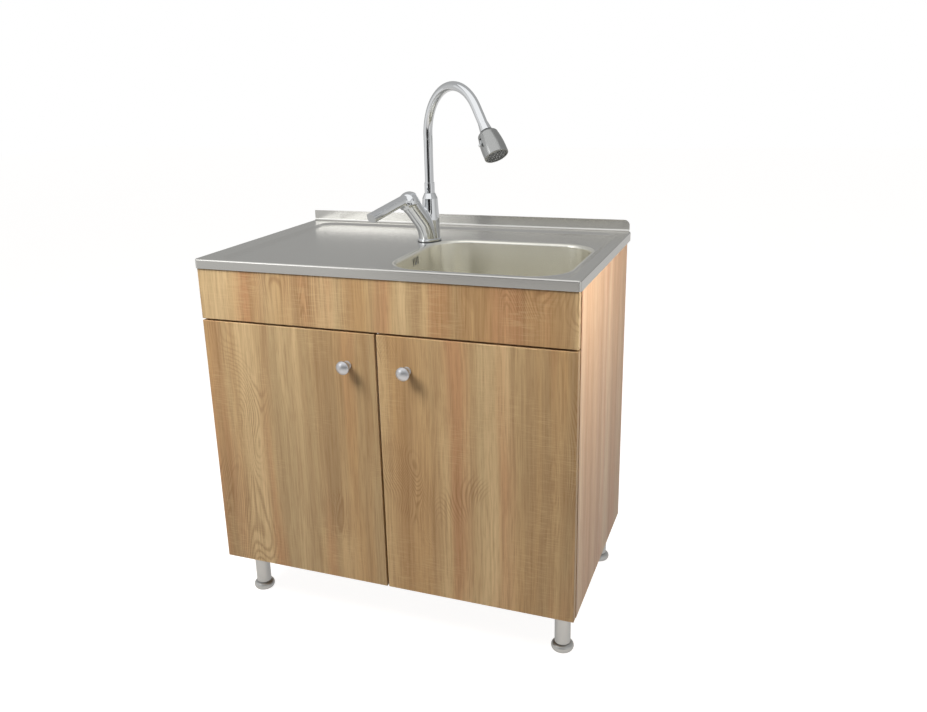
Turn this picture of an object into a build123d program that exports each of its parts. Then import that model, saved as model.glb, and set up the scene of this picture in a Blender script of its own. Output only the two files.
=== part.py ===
from build123d import *
import os
from math import cos, radians, sin, tan

# Kitchen sink unit: a two-door base cabinet on four screw feet, under a lay-on steel sink with a drainer, a mixer
# tap and its waste. X runs along the front to the right, +Y to the wall, +Z up. The origin is on the floor under
# the middle of the whole unit. Sizes are in millimetres.

# ---- Sink top ----
sink_width = 800.0
sink_depth = 500.0
rim_height = 797.0
sheet = 0.8
fold_height = 20.0
fold_bend = 3.5
fold_corner = 6.0
upstand_height = 25.0
upstand_bend = 5.0
upstand_corner = 12.0
recess_depth = 5.0
recess_slope = 13.0
recess_corner = 34.0
recess_rounding = 10.0
left_land = 45.0
right_land = 21.0
front_land = 12.0
rear_land = 24.0

# ---- Bowl ----
bowl_length = 350.0
bowl_breadth = 307.0
bowl_depth = 150.0
bowl_corner = 74.0
bowl_draft = 4.0
bowl_floor_bend = 26.0
bowl_rim_bend = 6.0
bowl_lip = 1.0
bowl_right_margin = 42.0
bowl_front_margin = 37.0
overflow_slot_width = 4.0
overflow_slot_height = 17.0
overflow_slot_pitch = 8.0
overflow_slots = 4
overflow_depth = 19.0

# ---- Cabinet ----
side_overhang = 2.5
carcass_depth = 450.0
board = 16.0
front_setback = 2.5
front_reveal = 1.0
front_gap = 4.0
door_gap = 2.0
front_rounding = 0.8
fascia_bottom = 671.0
leg_height = 114.0
panel_clearance = 1.2
panel_arris = 1.5
rail_height = 100.0
back_board = 3.0
rebate_width = 8.0
rebate_fit = 0.3
service_width = 500.0
service_height = 310.0
service_bottom = 250.0
service_corner = 20.0

# ---- Doors and their hardware ----
knob_projection = 28.0
knob_spread = 64.0
knob_drop = 67.0
knob_radius = 14.0
knob_neck = 6.5
knob_foot = 9.0
knob_foot_height = 2.0
knob_waist = 8.0
knob_shoulder = 18.5
knob_dome = 6.5
knob_edge = 1.2
knob_screw = 2.0
knob_screw_depth = 10.0
knob_screw_head = 4.0
knob_screw_head_height = 2.4
hinge_inset = 90.0
hinge_fit = 0.1
cup_radius = 17.5
cup_edge = 4.0
cup_depth = 11.5
cup_wall = 1.0
cup_flange = 1.2
cup_flange_radius = 19.5
cup_wing_width = 16.0
cup_wing_height = 52.0
link_pivot_inward = 12.0
link_pivot_back = -2.0
door_pivot_inward = -6.0
door_pivot_back = -3.0
link_bow = 6.0
link_sheet = 2.4
link_width = 9.0
link_boss = 2.2
link_clearance = 0.3
hinge_pin = 1.2
cup_pin_half = 11.0
arm_width = 16.0
arm_sheet = 1.5
arm_nose = 2.5
arm_top = 10.0
arm_shoulder = 3.0
arm_slope_start = 8.0
arm_slope_end = 17.0
arm_end = 62.0
plate_setback = 39.0
plate_depth = 34.0
plate_height = 50.0
plate_thickness = 2.4
plate_rib_fit = 0.2
system_pitch = 32.0
plate_screw_radius = 2.5
plate_screw_length = 11.0
plate_screw_head = 3.8
plate_screw_head_height = 1.6
bumper_radius = 4.0
bumper_inset = 60.0
bumper_gap = 0.3
bracket_leg = 32.0
bracket_height = 60.0
bracket_sheet = 2.0
cam_radius = 7.5
cam_height = 12.0
cam_slot = 2.5
cam_slot_length = 9.0
cam_slot_depth = 2.0
cam_inset = 34.0
cam_front = 120.0
cam_rear = 380.0

# ---- Legs ----
leg_side_inset = 39.0
leg_front_inset = 53.5
leg_rear_inset = 25.0
leg_radius = 16.5
leg_wall = 2.0
leg_bush = 10.0
leg_plate_radius = 22.0
leg_plate_thickness = 3.0
leg_spigot = 18.0
leg_spigot_wall = 2.5
foot_radius = 23.5
foot_base = 20.5
foot_height = 16.0
foot_belly = 7.0
foot_gap = 1.0
foot_thread = 9.0
foot_stem = 46.0
thread_fit = 0.1
foot_notches = 8
foot_notch_width = 2.8
foot_notch_length = 4.0
foot_notch_height = 5.0
screw_head = 3.5
screw_head_height = 1.7
screw_shank = 1.8
screw_length = 14.0
screw_circle = 7.0
screws_per_leg = 3

# ---- Mixer tap ----
tap_from_bowl = 21.0
tap_from_front = 316.0
tap_hole = 17.5
tap_turn = 25.0
tap_foot_radius = 22.5
tap_foot_height = 4.5
tap_foot_edge = 1.0
gasket = 1.5
barrel_radius = 19.2
barrel_lean = 38.5
barrel_bend = 74.0
barrel_straight = 42.0
column_offset = 10.0
column_radius = 16.6
column_base_radius = 19.4
column_taper = 46.0
body_blend = 3.0
column_height = 91.5
column_bore_depth = 40.0
cartridge_radius = 17.4
cartridge_bore = 17.6
cartridge_length = 30.0
cartridge_step = 2.0
nut_height = 12.0
nut_radius = 20.6
nut_edge = 0.8
dome_radius = 21.0
dome_wall = 3.0
dome_mouth = 11.4
dome_gap = 0.5
cap_wall = 2.3
cap_blend = 10.0
lever_lift = 25.0
lever_lean = 106.7
lever_rise = 12.0
lever_reach = 112.0
lever_width = 26.0
lever_thickness = 17.0
lever_tip_width = 25.0
lever_tip_thickness = 19.0
lever_rounding = 7.0
lever_tip_rounding = 6.0
stem_side = 8.0
stem_reach = 21.0
stem_tail = 4.0
stem_fit = 0.1
stem_pin = 1.6
carrier_radius = 13.0
carrier_height = 3.0
carrier_gap = 0.3
carrier_ear = 3.0
carrier_ear_width = 8.0
carrier_ear_top = 3.0
collar_height = 11.0
collar_top_radius = 11.8
tube_radius = 9.5
tube_wall = 1.5
tube_fit = 0.08
tube_end_gap = 1.0
spout_turned = 36.0
spout_bend = 101.0
spout_turn = 143.3
spout_rise = 224.5
spout_drop = 54.7
sleeve_radius = 11.0
sleeve_height = 22.0
sleeve_gap = 0.4
band_radius = 9.9
band_width = 1.2
band_height = 217.5
ferrule_top_radius = 10.0
ferrule_radius = 12.4
ferrule_length = 17.0
ball_radius = 8.0
ball_drop = 8.6
ball_neck = 4.5
ball_plug = 12.0
ball_fit = 0.1
head_top = 5.6
head_top_radius = 12.8
head_mouth = 8.0
head_waist = 7.0
head_shoulder = 2.0
head_shoulder_radius = 20.4
head_widest = 36.0
head_radius = 24.0
head_length = 48.0
head_edge = 1.6
head_passage = 4.0
head_chamber_top = 14.0
head_chamber_flat = 24.0
head_chamber = 17.5
face_radius = 20.5
face_recess = 1.5
face_thickness = 3.0
nozzle_radius = 1.1
nozzle_height = 1.0
nozzle_circle = 14.0
nozzles = 12
switch_height = 8.0
switch_angle = -90.0
switch_lean = 55.0
switch_width = 5.0
switch_thickness = 3.2
switch_reach = 17.0
switch_tip = 2.8
switch_pin = 1.2
switch_pin_length = 12.0
switch_seat = 18.5
switch_fit = 0.3
switch_swing = 30.0
shank_radius = 16.4
shank_length = 60.0
inlet_radius = 4.5
inlet_depth = 14.0
inlet_spread = 7.5
washer_radius = 26.0
washer_thickness = 3.0
tap_nut_radius = 25.0
tap_nut_height = 10.0

# ---- Waste ----
drain_radius = 44.0
flange_radius = 56.0
strainer_sheet = 1.0
strainer_cup = 41.0
strainer_depth = 32.0
strainer_mouth = 16.0
seal_radius = 54.0
seal_thickness = 3.0
waste_wall = 3.0
waste_radius = 47.0
waste_depth = 46.0
waste_flange = 4.0
branch_length = 20.0
pipe_radius = 20.0
pipe_wall = 2.0
tail_length = 30.0
trap_nut_radius = 27.0
trap_nut_height = 16.0
trap_inlet = 42.0
trap_radius = 33.0
trap_wall = 3.0
trap_head = 50.0
trap_cup = 70.0
cup_grip = 14.0
trap_outlet_drop = 22.0
trap_spigot = 22.0
dip_radius = 14.0
dip_length = 38.0
outlet_past_back = 14.0
spigot_length = 50.0
bead_radius = 21.5
bead_width = 3.0
plug_radius = 38.0
plug_thickness = 2.0
plug_lift = 12.0
plug_stem = 5.0
plug_cone = 19.0
plug_knob = 9.0
plug_knob_base = 22.0
plug_knob_height = 14.0
plug_hole = 2.0
plug_hole_circle = 27.0
plug_holes = 12
plug_gap = 0.3
hose_radius = 10.0
hose_wall = 1.5
hose_bend = 40.0
hose_drop = 30.0
overflow_width = 52.0
overflow_height = 24.0
overflow_thickness = 25.0
overflow_skin = 2.0
overflow_wall_corner = 5.0
overflow_stub = 8.0
overflow_rise = 1.0

# ---- Derived planes of the cabinet and the sink ----
total_depth = sink_depth + knob_projection - front_setback
sink_front = knob_projection - front_setback - total_depth / 2
sink_back = sink_front + sink_depth
front_face = sink_front + front_setback
front_back = front_face + board
carcass_front = front_back + door_gap
carcass_back = carcass_front + carcass_depth
side_outer = sink_width / 2 - side_overhang
side_inner = side_outer - board
side_top = rim_height - sheet
deck_top = rim_height - recess_depth
board_top = deck_top - sheet - panel_clearance
door_top = fascia_bottom - front_gap
back_board_front = carcass_back - back_board
bowl_x = sink_width / 2 - bowl_right_margin - bowl_length / 2
bowl_y = sink_front + bowl_front_margin + bowl_breadth / 2
bowl_floor = deck_top - bowl_depth
bowl_left = bowl_x - bowl_length / 2
bowl_flange = bowl_rim_bend + bowl_lip
tap_x = bowl_left - tap_from_bowl
tap_y = sink_front + tap_from_front
hinge_heights = (leg_height + hinge_inset, door_top - hinge_inset)
leg_rows = (carcass_front + leg_front_inset, carcass_back - leg_rear_inset)
leg_spots = [(side, y) for side in (-1, 1) for y in leg_rows]


def block(x, y, z, mode=Mode.ADD):
    """Adds or cuts a block; x, y and z are each a low and a high coordinate, in any order."""
    middle = ((x[0] + x[1]) / 2, (y[0] + y[1]) / 2, (z[0] + z[1]) / 2)
    with Locations(middle):
        Box(abs(x[1] - x[0]), abs(y[1] - y[0]), abs(z[1] - z[0]), mode=mode)


def half_plane(plane):
    """The plane of a turned form's half outline: its X runs outward from a plane's Z axis, and its Y along it."""
    return Plane(plane.origin, x_dir=plane.x_dir, z_dir=-plane.y_dir)


def turned(plane, outline, mode=Mode.ADD):
    """Revolves a closed outline of (radius, height) points about the Z axis of a plane."""
    with BuildSketch(half_plane(plane)) as half:
        with BuildLine():
            Polyline(*outline, close=True)
        make_face()
    revolve(half.sketch, axis=Axis(plane.origin, plane.z_dir), mode=mode)


def ring(plane, inner, outer, low, high, mode=Mode.ADD):
    """Adds or cuts a plain ring, or a disc where the inner radius is zero."""
    turned(plane, [(inner, low), (outer, low), (outer, high), (inner, high)], mode)


def upright(x, y, z=0.0):
    """A plane that lies flat at a point."""
    return Plane(origin=(x, y, z), x_dir=(1, 0, 0), z_dir=(0, 0, 1))


def write(builder, label):
    """Labels a finished piece and writes it."""
    builder.part.label = label
    export_step(builder.part, f"parts/{label}.step")


def bend_end(radius, turn, straight):
    """Reach and height at the end of a path that starts upright, bends by an angle and runs on straight."""
    reach = radius * (1 - cos(radians(turn))) + straight * sin(radians(turn))
    height = radius * sin(radians(turn)) + straight * cos(radians(turn))
    return reach, height


def upright_plane(x, y, z, angle):
    """An upright plane through a point: its X runs level at an angle from +X, and its Y runs up."""
    along = (cos(radians(angle)), sin(radians(angle)), 0)
    across = (sin(radians(angle)), -cos(radians(angle)), 0)
    return Plane(origin=(x, y, z), x_dir=along, z_dir=across)


def plane_across(section, spot, lean):
    """A plane square to a path in an upright section, at a (reach, height) spot, leaning by an angle."""
    ahead = section.x_dir * sin(radians(lean)) + section.y_dir * cos(radians(lean))
    level = section.x_dir * cos(radians(lean)) - section.y_dir * sin(radians(lean))
    return Plane(origin=section.from_local_coords((*spot, 0)), x_dir=level, z_dir=ahead)


# ---- Sink top ----

def recess_form(top_height, rounding):
    """The pressed recess as a solid: a shallow tub with sloped sides, its corners and its floor's edge rounded."""
    x_low = -sink_width / 2 + left_land
    x_high = sink_width / 2 - right_land
    y_low = sink_front + front_land
    y_high = sink_back - rear_land
    middle = Location(((x_low + x_high) / 2, (y_low + y_high) / 2, top_height))
    floor = middle * Location((0, 0, -recess_depth))
    with BuildPart() as tub:
        with BuildSketch(Plane(middle)):
            RectangleRounded(x_high - x_low, y_high - y_low, recess_corner)
        with BuildSketch(Plane(floor)):
            RectangleRounded(x_high - x_low - 2 * recess_slope, y_high - y_low - 2 * recess_slope,
                             recess_corner - recess_slope)
        loft(ruled=True)
        fillet(tub.faces().sort_by(Axis.Z)[0].edges(), rounding)
    return tub.part


def folded_edge(inset, height, top, rear):
    """The sink's outer form, shrunk by an inset: a flat slab with rounded front corners and upper edges."""
    width = sink_width - 2 * inset
    depth = rear - sink_front - inset
    with BuildPart() as slab:
        with BuildSketch(Plane.XY.offset(top - height)) as outline:
            with Locations((0, sink_front + inset + depth / 2)):
                Rectangle(width, depth)
            fillet(outline.vertices().group_by(Axis.Y)[0], fold_corner - inset)
        extrude(amount=height)
        upper = slab.faces().sort_by(Axis.Z)[-1].edges()
        fillet(upper - upper.filter_by(Axis.X).sort_by(Axis.Y)[-1:], fold_bend - inset)
    return slab.part


def upstand_form():
    """The sheet that turns up at the back, rounded at its free right end."""
    start = sink_back - upstand_bend - sheet
    top = rim_height + upstand_height
    turn = rim_height + upstand_bend
    with BuildPart() as turned_up:
        with BuildSketch(Plane.YZ) as section:
            with BuildLine():
                CenterArc((start, turn), upstand_bend, -90, 90)
                Polyline((sink_back - sheet, turn), (sink_back - sheet, top), (sink_back, top), (sink_back, turn))
                CenterArc((start, turn), upstand_bend + sheet, 0, -90)
                Line((start, rim_height - sheet), (start, rim_height))
            make_face()
        extrude(section.sketch, amount=sink_width / 2 - fold_bend, both=True)
        ends = turned_up.edges().filter_by(Axis.Y).group_by(Axis.Z)[-1]
        fillet(ends.sort_by(Axis.X)[-1], upstand_corner)
    return turned_up.part


def make_sink_deck():
    """The pressed deck: a folded edge in front and at the sides, a recess with soft edges, and the upstand."""
    bend_start = sink_back - upstand_bend - sheet
    with BuildPart() as deck:
        add(folded_edge(0, fold_height, rim_height, bend_start))
        add(folded_edge(sheet, fold_height, rim_height - sheet, bend_start + fold_height), mode=Mode.SUBTRACT)
        add(recess_form(rim_height - sheet, recess_rounding + sheet))
        underside = deck.faces().filter_by(Axis.Z).sort_by(Axis.Z)[-2]
        fillet(underside.inner_wires()[0].edges(), recess_rounding - sheet)
        add(recess_form(rim_height, recess_rounding), mode=Mode.SUBTRACT)
        upside = deck.faces().filter_by(Axis.Z).sort_by(Axis.Z)[-1]
        fillet(upside.inner_wires()[0].edges(), recess_rounding)
        with BuildSketch(Plane.XY.offset(deck_top)):
            bowl_outline(bowl_flange)
            with Locations((tap_x, tap_y)):
                Circle(tap_hole)
        extrude(amount=-fold_height, mode=Mode.SUBTRACT)
        add(upstand_form())
    write(deck, "sink_deck")


# ---- Bowl ----

def bowl_outline(grown):
    """Draws the bowl's outline, grown by a distance or shrunk by a negative one."""
    with Locations((bowl_x, bowl_y)):
        RectangleRounded(bowl_length + 2 * grown, bowl_breadth + 2 * grown, bowl_corner + grown)


def bowl_form(inset):
    """The bowl's pan as a solid, shrunk by an inset: drafted walls and a rounded floor edge."""
    with BuildPart() as pan:
        with BuildSketch(Plane.XY.offset(deck_top)):
            bowl_outline(-inset)
        extrude(amount=-(bowl_depth - inset), taper=bowl_draft)
        fillet(pan.faces().sort_by(Axis.Z)[0].edges(), bowl_floor_bend - inset)
    return pan.part


def overflow_wall():
    """The plane of the bowl's left wall where the overflow sits, facing out of the bowl, its Y running up."""
    draft = radians(bowl_draft)
    spot = (bowl_left + overflow_depth * tan(draft), bowl_y, deck_top - overflow_depth)
    return Plane(origin=spot, x_dir=(0, -1, 0), z_dir=(-cos(draft), 0, -sin(draft)))


def make_sink_bowl():
    """The pressed bowl, welded in flush with the deck, with its drain hole and overflow slots."""
    with BuildPart() as bowl:
        with BuildSketch(Plane.XY.offset(deck_top)):
            bowl_outline(bowl_flange)
        extrude(amount=-sheet)
        add(bowl_form(0))
        underside = bowl.faces().filter_by(Axis.Z).group_by(Axis.Z)[-2][0]
        fillet(underside.inner_wires()[0].edges(), bowl_rim_bend - sheet)
        add(bowl_form(sheet), mode=Mode.SUBTRACT)
        upside = bowl.faces().filter_by(Axis.Z).group_by(Axis.Z)[-1][0]
        fillet(upside.inner_wires()[0].edges(), bowl_rim_bend)
        ring(upright(bowl_x, bowl_y, bowl_floor), 0, drain_radius, -sheet, 2 * sheet, mode=Mode.SUBTRACT)
        with BuildSketch(overflow_wall()) as slots:
            with GridLocations(overflow_slot_pitch, 0, overflow_slots, 1):
                SlotOverall(overflow_slot_height, overflow_slot_width, rotation=90)
        extrude(slots.sketch, amount=2 * sheet, both=True, mode=Mode.SUBTRACT)
    write(bowl, "sink_bowl")


# ---- Cabinet boards ----

def make_side_panel(hand, label):
    """A side of the cabinet, with a rebate for the back board and holes for the hinge plates."""
    with BuildPart() as panel:
        block((hand * side_inner, hand * side_outer), (carcass_front, carcass_back), (leg_height, side_top))
        outer_top = panel.edges().filter_by(Axis.Y).group_by(Axis.Z)[-1].sort_by(Axis.X)
        chamfer(outer_top[-1] if hand > 0 else outer_top[0], panel_arris)
        block((hand * side_inner, hand * (side_inner + rebate_width)), (back_board_front, carcass_back),
              (leg_height, board_top), mode=Mode.SUBTRACT)
        for spot in plate_screw_spots(hand):
            ring(spot, 0, plate_screw_radius, -plate_screw_length, 0, mode=Mode.SUBTRACT)
    write(panel, label)


def cam_spots():
    """Where the cams that pull the sides to the bottom sit."""
    return [(side * (side_inner - cam_inset), carcass_front + back) for side in (-1, 1)
            for back in (cam_front, cam_rear)]


def make_bottom_panel():
    with BuildPart() as panel:
        block((-side_inner, side_inner), (carcass_front, back_board_front), (leg_height, leg_height + board))
        for x, y in cam_spots():
            ring(upright(x, y, leg_height), 0, cam_radius, 0, cam_height, mode=Mode.SUBTRACT)
        for plane in leg_screw_spots():
            leg_screw(plane, mode=Mode.SUBTRACT)
    write(panel, "bottom_panel")


def make_cam_fittings():
    """The cams, each with a cross in its lower face to turn it by."""
    with BuildPart() as cams:
        for x, y in cam_spots():
            ring(upright(x, y, leg_height), 0, cam_radius, 0, cam_height)
            with BuildSketch(upright(x, y, leg_height)) as cross:
                Rectangle(cam_slot_length, cam_slot)
                Rectangle(cam_slot, cam_slot_length)
            extrude(cross.sketch, amount=cam_slot_depth, mode=Mode.SUBTRACT)
    write(cams, "cam_fittings")


def make_back_panel():
    """The thin back board, with the opening through which the supply and the waste pass."""
    reach = side_inner + rebate_width - rebate_fit
    middle = (back_board_front + carcass_back) / 2
    with BuildPart() as panel:
        block((-reach, reach), (back_board_front, carcass_back), (leg_height, board_top))
        with Locations((0, middle, service_bottom + service_height / 2)):
            Box(service_width, 2 * back_board, service_height, mode=Mode.SUBTRACT)
        corners = panel.edges().filter_by(Axis.Y).filter_by(lambda edge: abs(edge.center().X) < service_width)
        fillet([edge for edge in corners if abs(edge.center().X) < side_inner], service_corner)
    write(panel, "back_panel")


def make_back_rail():
    with BuildPart() as rail:
        block((-side_inner, side_inner), (back_board_front - board, back_board_front),
              (board_top - rail_height, board_top))
    write(rail, "back_rail")


def front_board(low_x, high_x, low_z, high_z):
    """A board of the front with its visible edges broken."""
    with BuildPart() as leaf:
        block((low_x, high_x), (front_face, front_back), (low_z, high_z))
        chamfer(leaf.faces().sort_by(Axis.Y)[0].edges(), front_rounding)
    return leaf.part


def make_fascia():
    reach = side_outer - front_reveal
    with BuildPart() as fascia:
        add(front_board(-reach, reach, fascia_bottom, board_top))
    write(fascia, "fascia_panel")


def make_fascia_brackets():
    """Bent brackets that hold the fixed fascia to the sides."""
    middle = (fascia_bottom + board_top) / 2
    height = (middle - bracket_height / 2, middle + bracket_height / 2)
    with BuildPart() as brackets:
        for side in (-1, 1):
            corner = side * side_inner
            block((corner, corner - side * bracket_leg), (front_back, front_back + bracket_sheet), height)
            block((corner, corner - side * bracket_sheet), (front_back, front_back + bracket_leg), height)
    write(brackets, "fascia_brackets")


# ---- Doors ----

def knob_plane(hand):
    """The plane of a knob on the front of its door, facing out."""
    spot = (hand * knob_spread, front_face, door_top - knob_drop)
    return Plane(origin=spot, x_dir=(1, 0, 0), z_dir=(0, -1, 0))


def cup_plane(hand, z):
    """The plane of a hinge cup on the back of its door, facing into the cabinet."""
    inward = cup_edge + cup_radius - (side_outer - front_reveal - side_inner)
    return Plane(origin=(*at_side(hand, inward, 0), z), x_dir=(-1, 0, 0), z_dir=(0, 1, 0))


def at_side(hand, inward, back):
    """A point by its distance inward from a side's inner face and back from the doors' back face."""
    return hand * (side_inner - inward), front_back + back


def make_door(hand, label):
    with BuildPart() as door:
        add(front_board(hand * front_gap / 2, hand * (side_outer - front_reveal), leg_height, door_top))
        for z in hinge_heights:
            ring(cup_plane(hand, z), 0, cup_radius, -cup_depth, 0, mode=Mode.SUBTRACT)
        ring(knob_plane(hand), 0, knob_screw, -board, 0, mode=Mode.SUBTRACT)
    write(door, label)


def make_knob(hand, label):
    """A mushroom knob, turned: a foot, a hollow neck, a low dome, and a blind hole for its screw."""
    plane = knob_plane(hand)
    rim = knob_projection - knob_dome
    with BuildPart() as knob:
        with BuildSketch(half_plane(plane)) as outline:
            with BuildLine():
                Polyline((0, knob_projection), (0, 0), (knob_foot, 0), (knob_foot, knob_foot_height))
                ThreePointArc((knob_foot, knob_foot_height), (knob_neck, knob_waist), (knob_radius, knob_shoulder))
                Line((knob_radius, knob_shoulder), (knob_radius, rim))
                TangentArc((0, knob_projection), (knob_radius, rim), tangent=(1, 0))
            make_face()
            fillet(outline.vertices().group_by(Axis.X)[-1], knob_edge)
        revolve(outline.sketch, axis=Axis(plane.origin, plane.z_dir))
        ring(plane, 0, knob_screw, 0, knob_screw_depth, mode=Mode.SUBTRACT)
    write(knob, label)


def make_knob_screw(hand, label):
    """The machine screw that draws the knob to the door from inside."""
    outline = [(0, -board - knob_screw_head_height), (knob_screw_head, -board - knob_screw_head_height),
               (knob_screw_head, -board), (knob_screw, -board), (knob_screw, knob_screw_depth),
               (0, knob_screw_depth)]
    with BuildPart() as screw:
        turned(knob_plane(hand), outline)
    write(screw, label)


def make_door_bumpers(hand, label):
    """Soft dots on the back of a door, against the front edges of the bottom and the side."""
    low = (hand * bumper_inset, front_back, leg_height + board / 2)
    high = (hand * (side_inner + board / 2 - front_reveal), front_back, door_top - bumper_inset)
    with BuildPart() as bumpers:
        for spot in (low, high):
            ring(Plane(origin=spot, x_dir=(-1, 0, 0), z_dir=(0, 1, 0)), 0, bumper_radius, 0, door_gap - bumper_gap)
    write(bumpers, label)


# ---- Concealed hinges ----

def link_pivot(hand):
    return at_side(hand, link_pivot_inward, link_pivot_back)


def door_pivot(hand):
    return at_side(hand, door_pivot_inward, door_pivot_back)


def make_hinge_cups(hand, label):
    """Pressed cups with their wings, sunk in the back of a door, each with its hinge pin across."""
    pivot = upright(*door_pivot(hand))
    with BuildPart() as cups:
        for z in hinge_heights:
            plane = cup_plane(hand, z)
            ring(plane, 0, cup_radius, -cup_depth, cup_flange)
            with BuildSketch(plane) as wings:
                Circle(cup_flange_radius)
                RectangleRounded(cup_wing_width, cup_wing_height, cup_wing_width / 2 - cup_wall)
            extrude(wings.sketch, amount=cup_flange)
            ring(plane, 0, cup_radius - cup_wall, -cup_depth + cup_wall, cup_flange, mode=Mode.SUBTRACT)
        for z in hinge_heights:
            half = cup_pin_half
            ring(pivot, 0, hinge_pin, z - half, z + half)
    write(cups, label)


def link_blade(hand, z):
    """One bowed link, rolled round its two pins."""
    near = door_pivot(hand)
    far = link_pivot(hand)
    bow = at_side(hand, (link_pivot_inward + door_pivot_inward) / 2,
                  (link_pivot_back + door_pivot_back) / 2 - link_bow)
    with BuildLine() as centre:
        ThreePointArc(near, bow, far)
    with BuildPart() as link:
        with BuildSketch(Plane.XY.offset(z - link_width / 2)) as blade:
            SlotArc(centre.edges()[0], link_sheet)
            with Locations(near, far):
                Circle(link_boss)
            with Locations(near, far):
                Circle(hinge_pin + hinge_fit, mode=Mode.SUBTRACT)
        extrude(blade.sketch, amount=link_width)
    return link.part


def make_hinge_links(hand, label):
    with BuildPart() as links:
        for z in hinge_heights:
            add(link_blade(hand, z))
    write(links, label)


def arm_profile(hand):
    """The hinge arm from the side: its nose at the link's pin, a shoulder, and a long flat back."""
    nose = link_pivot_inward
    return [at_side(hand, *spot) for spot in (
        (nose + arm_nose, link_pivot_back), (nose + arm_nose, arm_slope_start), (arm_top, arm_slope_end),
        (arm_top, arm_end), (plate_thickness, arm_end), (plate_thickness, arm_slope_end),
        (nose - arm_nose, arm_slope_start), (nose - arm_nose, link_pivot_back))]


def arm_hollow(hand):
    """The inside of the arm's channel, from the side."""
    nose = link_pivot_inward
    return [at_side(hand, *spot) for spot in (
        (nose + 2 * arm_nose, link_pivot_back - 2 * arm_nose), (nose + 2 * arm_nose, arm_shoulder),
        (nose + arm_nose - arm_sheet, arm_shoulder), (nose + arm_nose - arm_sheet, arm_slope_start),
        (arm_top - arm_sheet, arm_slope_end), (arm_top - arm_sheet, arm_end + arm_sheet),
        (0, arm_end + arm_sheet), (0, link_pivot_back - 2 * arm_nose))]


def make_hinge_arms(hand, label):
    """The fixed arms, bent from sheet into channels, each with the pin of its link."""
    hollow = link_width + 2 * link_clearance
    with BuildPart() as arms:
        for z in hinge_heights:
            with BuildSketch(Plane.XY.offset(z - arm_width / 2)) as outside:
                with BuildLine():
                    Polyline(*arm_profile(hand), close=True)
                make_face()
                with Locations(link_pivot(hand)):
                    Circle(arm_nose)
            extrude(outside.sketch, amount=arm_width)
            with BuildSketch(Plane.XY.offset(z - hollow / 2)) as inside:
                with BuildLine():
                    Polyline(*arm_hollow(hand), close=True)
                make_face()
            extrude(inside.sketch, amount=hollow, mode=Mode.SUBTRACT)
        for z in hinge_heights:
            ring(upright(*link_pivot(hand)), 0, hinge_pin, z - arm_width / 2, z + arm_width / 2)
    write(arms, label)


def plate_screw_spots(hand):
    """Planes at the holes of the hinge plates, on a side's inner face and facing inward."""
    x, y = at_side(hand, 0, plate_setback)
    return [Plane(origin=(x, y, z + step * system_pitch / 2), x_dir=(0, 1, 0), z_dir=(-hand, 0, 0))
            for z in hinge_heights for step in (-1, 1)]


def make_hinge_plates(hand, label):
    """Mounting plates on the side, each with a rib inside the arm's channel."""
    rib = link_width + 2 * link_clearance - 2 * plate_rib_fit
    with BuildPart() as plates:
        for z in hinge_heights:
            low = at_side(hand, 0, plate_setback - plate_depth / 2)
            high = at_side(hand, plate_thickness, plate_setback + plate_depth / 2)
            top = at_side(hand, arm_top - arm_sheet, plate_setback + plate_depth / 2)
            block((low[0], high[0]), (low[1], high[1]), (z - plate_height / 2, z + plate_height / 2))
            block((low[0], top[0]), (low[1], high[1]), (z - rib / 2, z + rib / 2))
        for spot in plate_screw_spots(hand):
            ring(spot, 0, plate_screw_radius, 0, 2 * plate_thickness, mode=Mode.SUBTRACT)
    write(plates, label)


def make_hinge_screws():
    """The fixing screws of all the hinge plates."""
    with BuildPart() as screws:
        for hand in (-1, 1):
            for spot in plate_screw_spots(hand):
                turned(spot, [(0, -plate_screw_length), (plate_screw_radius, -plate_screw_length),
                              (plate_screw_radius, plate_thickness), (plate_screw_head, plate_thickness),
                              (plate_screw_head, plate_thickness + plate_screw_head_height),
                              (0, plate_thickness + plate_screw_head_height)])
    write(screws, "hinge_screws")


# ---- Legs ----

def leg_place(side, y):
    return side * (side_outer - leg_side_inset), y


def leg_screw_spots():
    """Planes at the leg screws, at the underside of the plates and facing up."""
    spots = []
    for leg in leg_spots:
        x, y = leg_place(*leg)
        with PolarLocations(screw_circle, screws_per_leg) as holes:
            for hole in holes.local_locations:
                spots.append(upright(x + hole.position.X, y + hole.position.Y, leg_height - leg_plate_thickness))
    return spots


def leg_screw(plane, mode=Mode.ADD):
    """A countersunk wood screw."""
    turned(plane, [(0, 0), (screw_head, 0), (screw_shank, screw_head_height), (screw_shank, screw_length),
                   (0, screw_length)], mode)


def make_leg_screws():
    with BuildPart() as screws:
        for plane in leg_screw_spots():
            leg_screw(plane)
    write(screws, "leg_screws")


def make_leg_plates():
    """Round plates under the bottom, each with a spigot that the leg's tube slips over."""
    spigot = leg_radius - leg_wall
    with BuildPart() as plates:
        for leg in leg_spots:
            foot = upright(*leg_place(*leg), leg_height)
            ring(foot, 0, leg_plate_radius, -leg_plate_thickness, 0)
            ring(foot, spigot - leg_spigot_wall, spigot, -leg_plate_thickness - leg_spigot, -leg_plate_thickness)
        for plane in leg_screw_spots():
            leg_screw(plane, mode=Mode.SUBTRACT)
    write(plates, "leg_plates")


def make_leg_tubes():
    """Round tubes with a threaded bush for the screw foot in their lower end."""
    low = foot_height + foot_gap
    with BuildPart() as tubes:
        for leg in leg_spots:
            foot = upright(*leg_place(*leg))
            ring(foot, leg_radius - leg_wall, leg_radius, low, leg_height - leg_plate_thickness)
            ring(foot, foot_thread + thread_fit, leg_radius, low, low + leg_bush)
    write(tubes, "leg_tubes")


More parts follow.
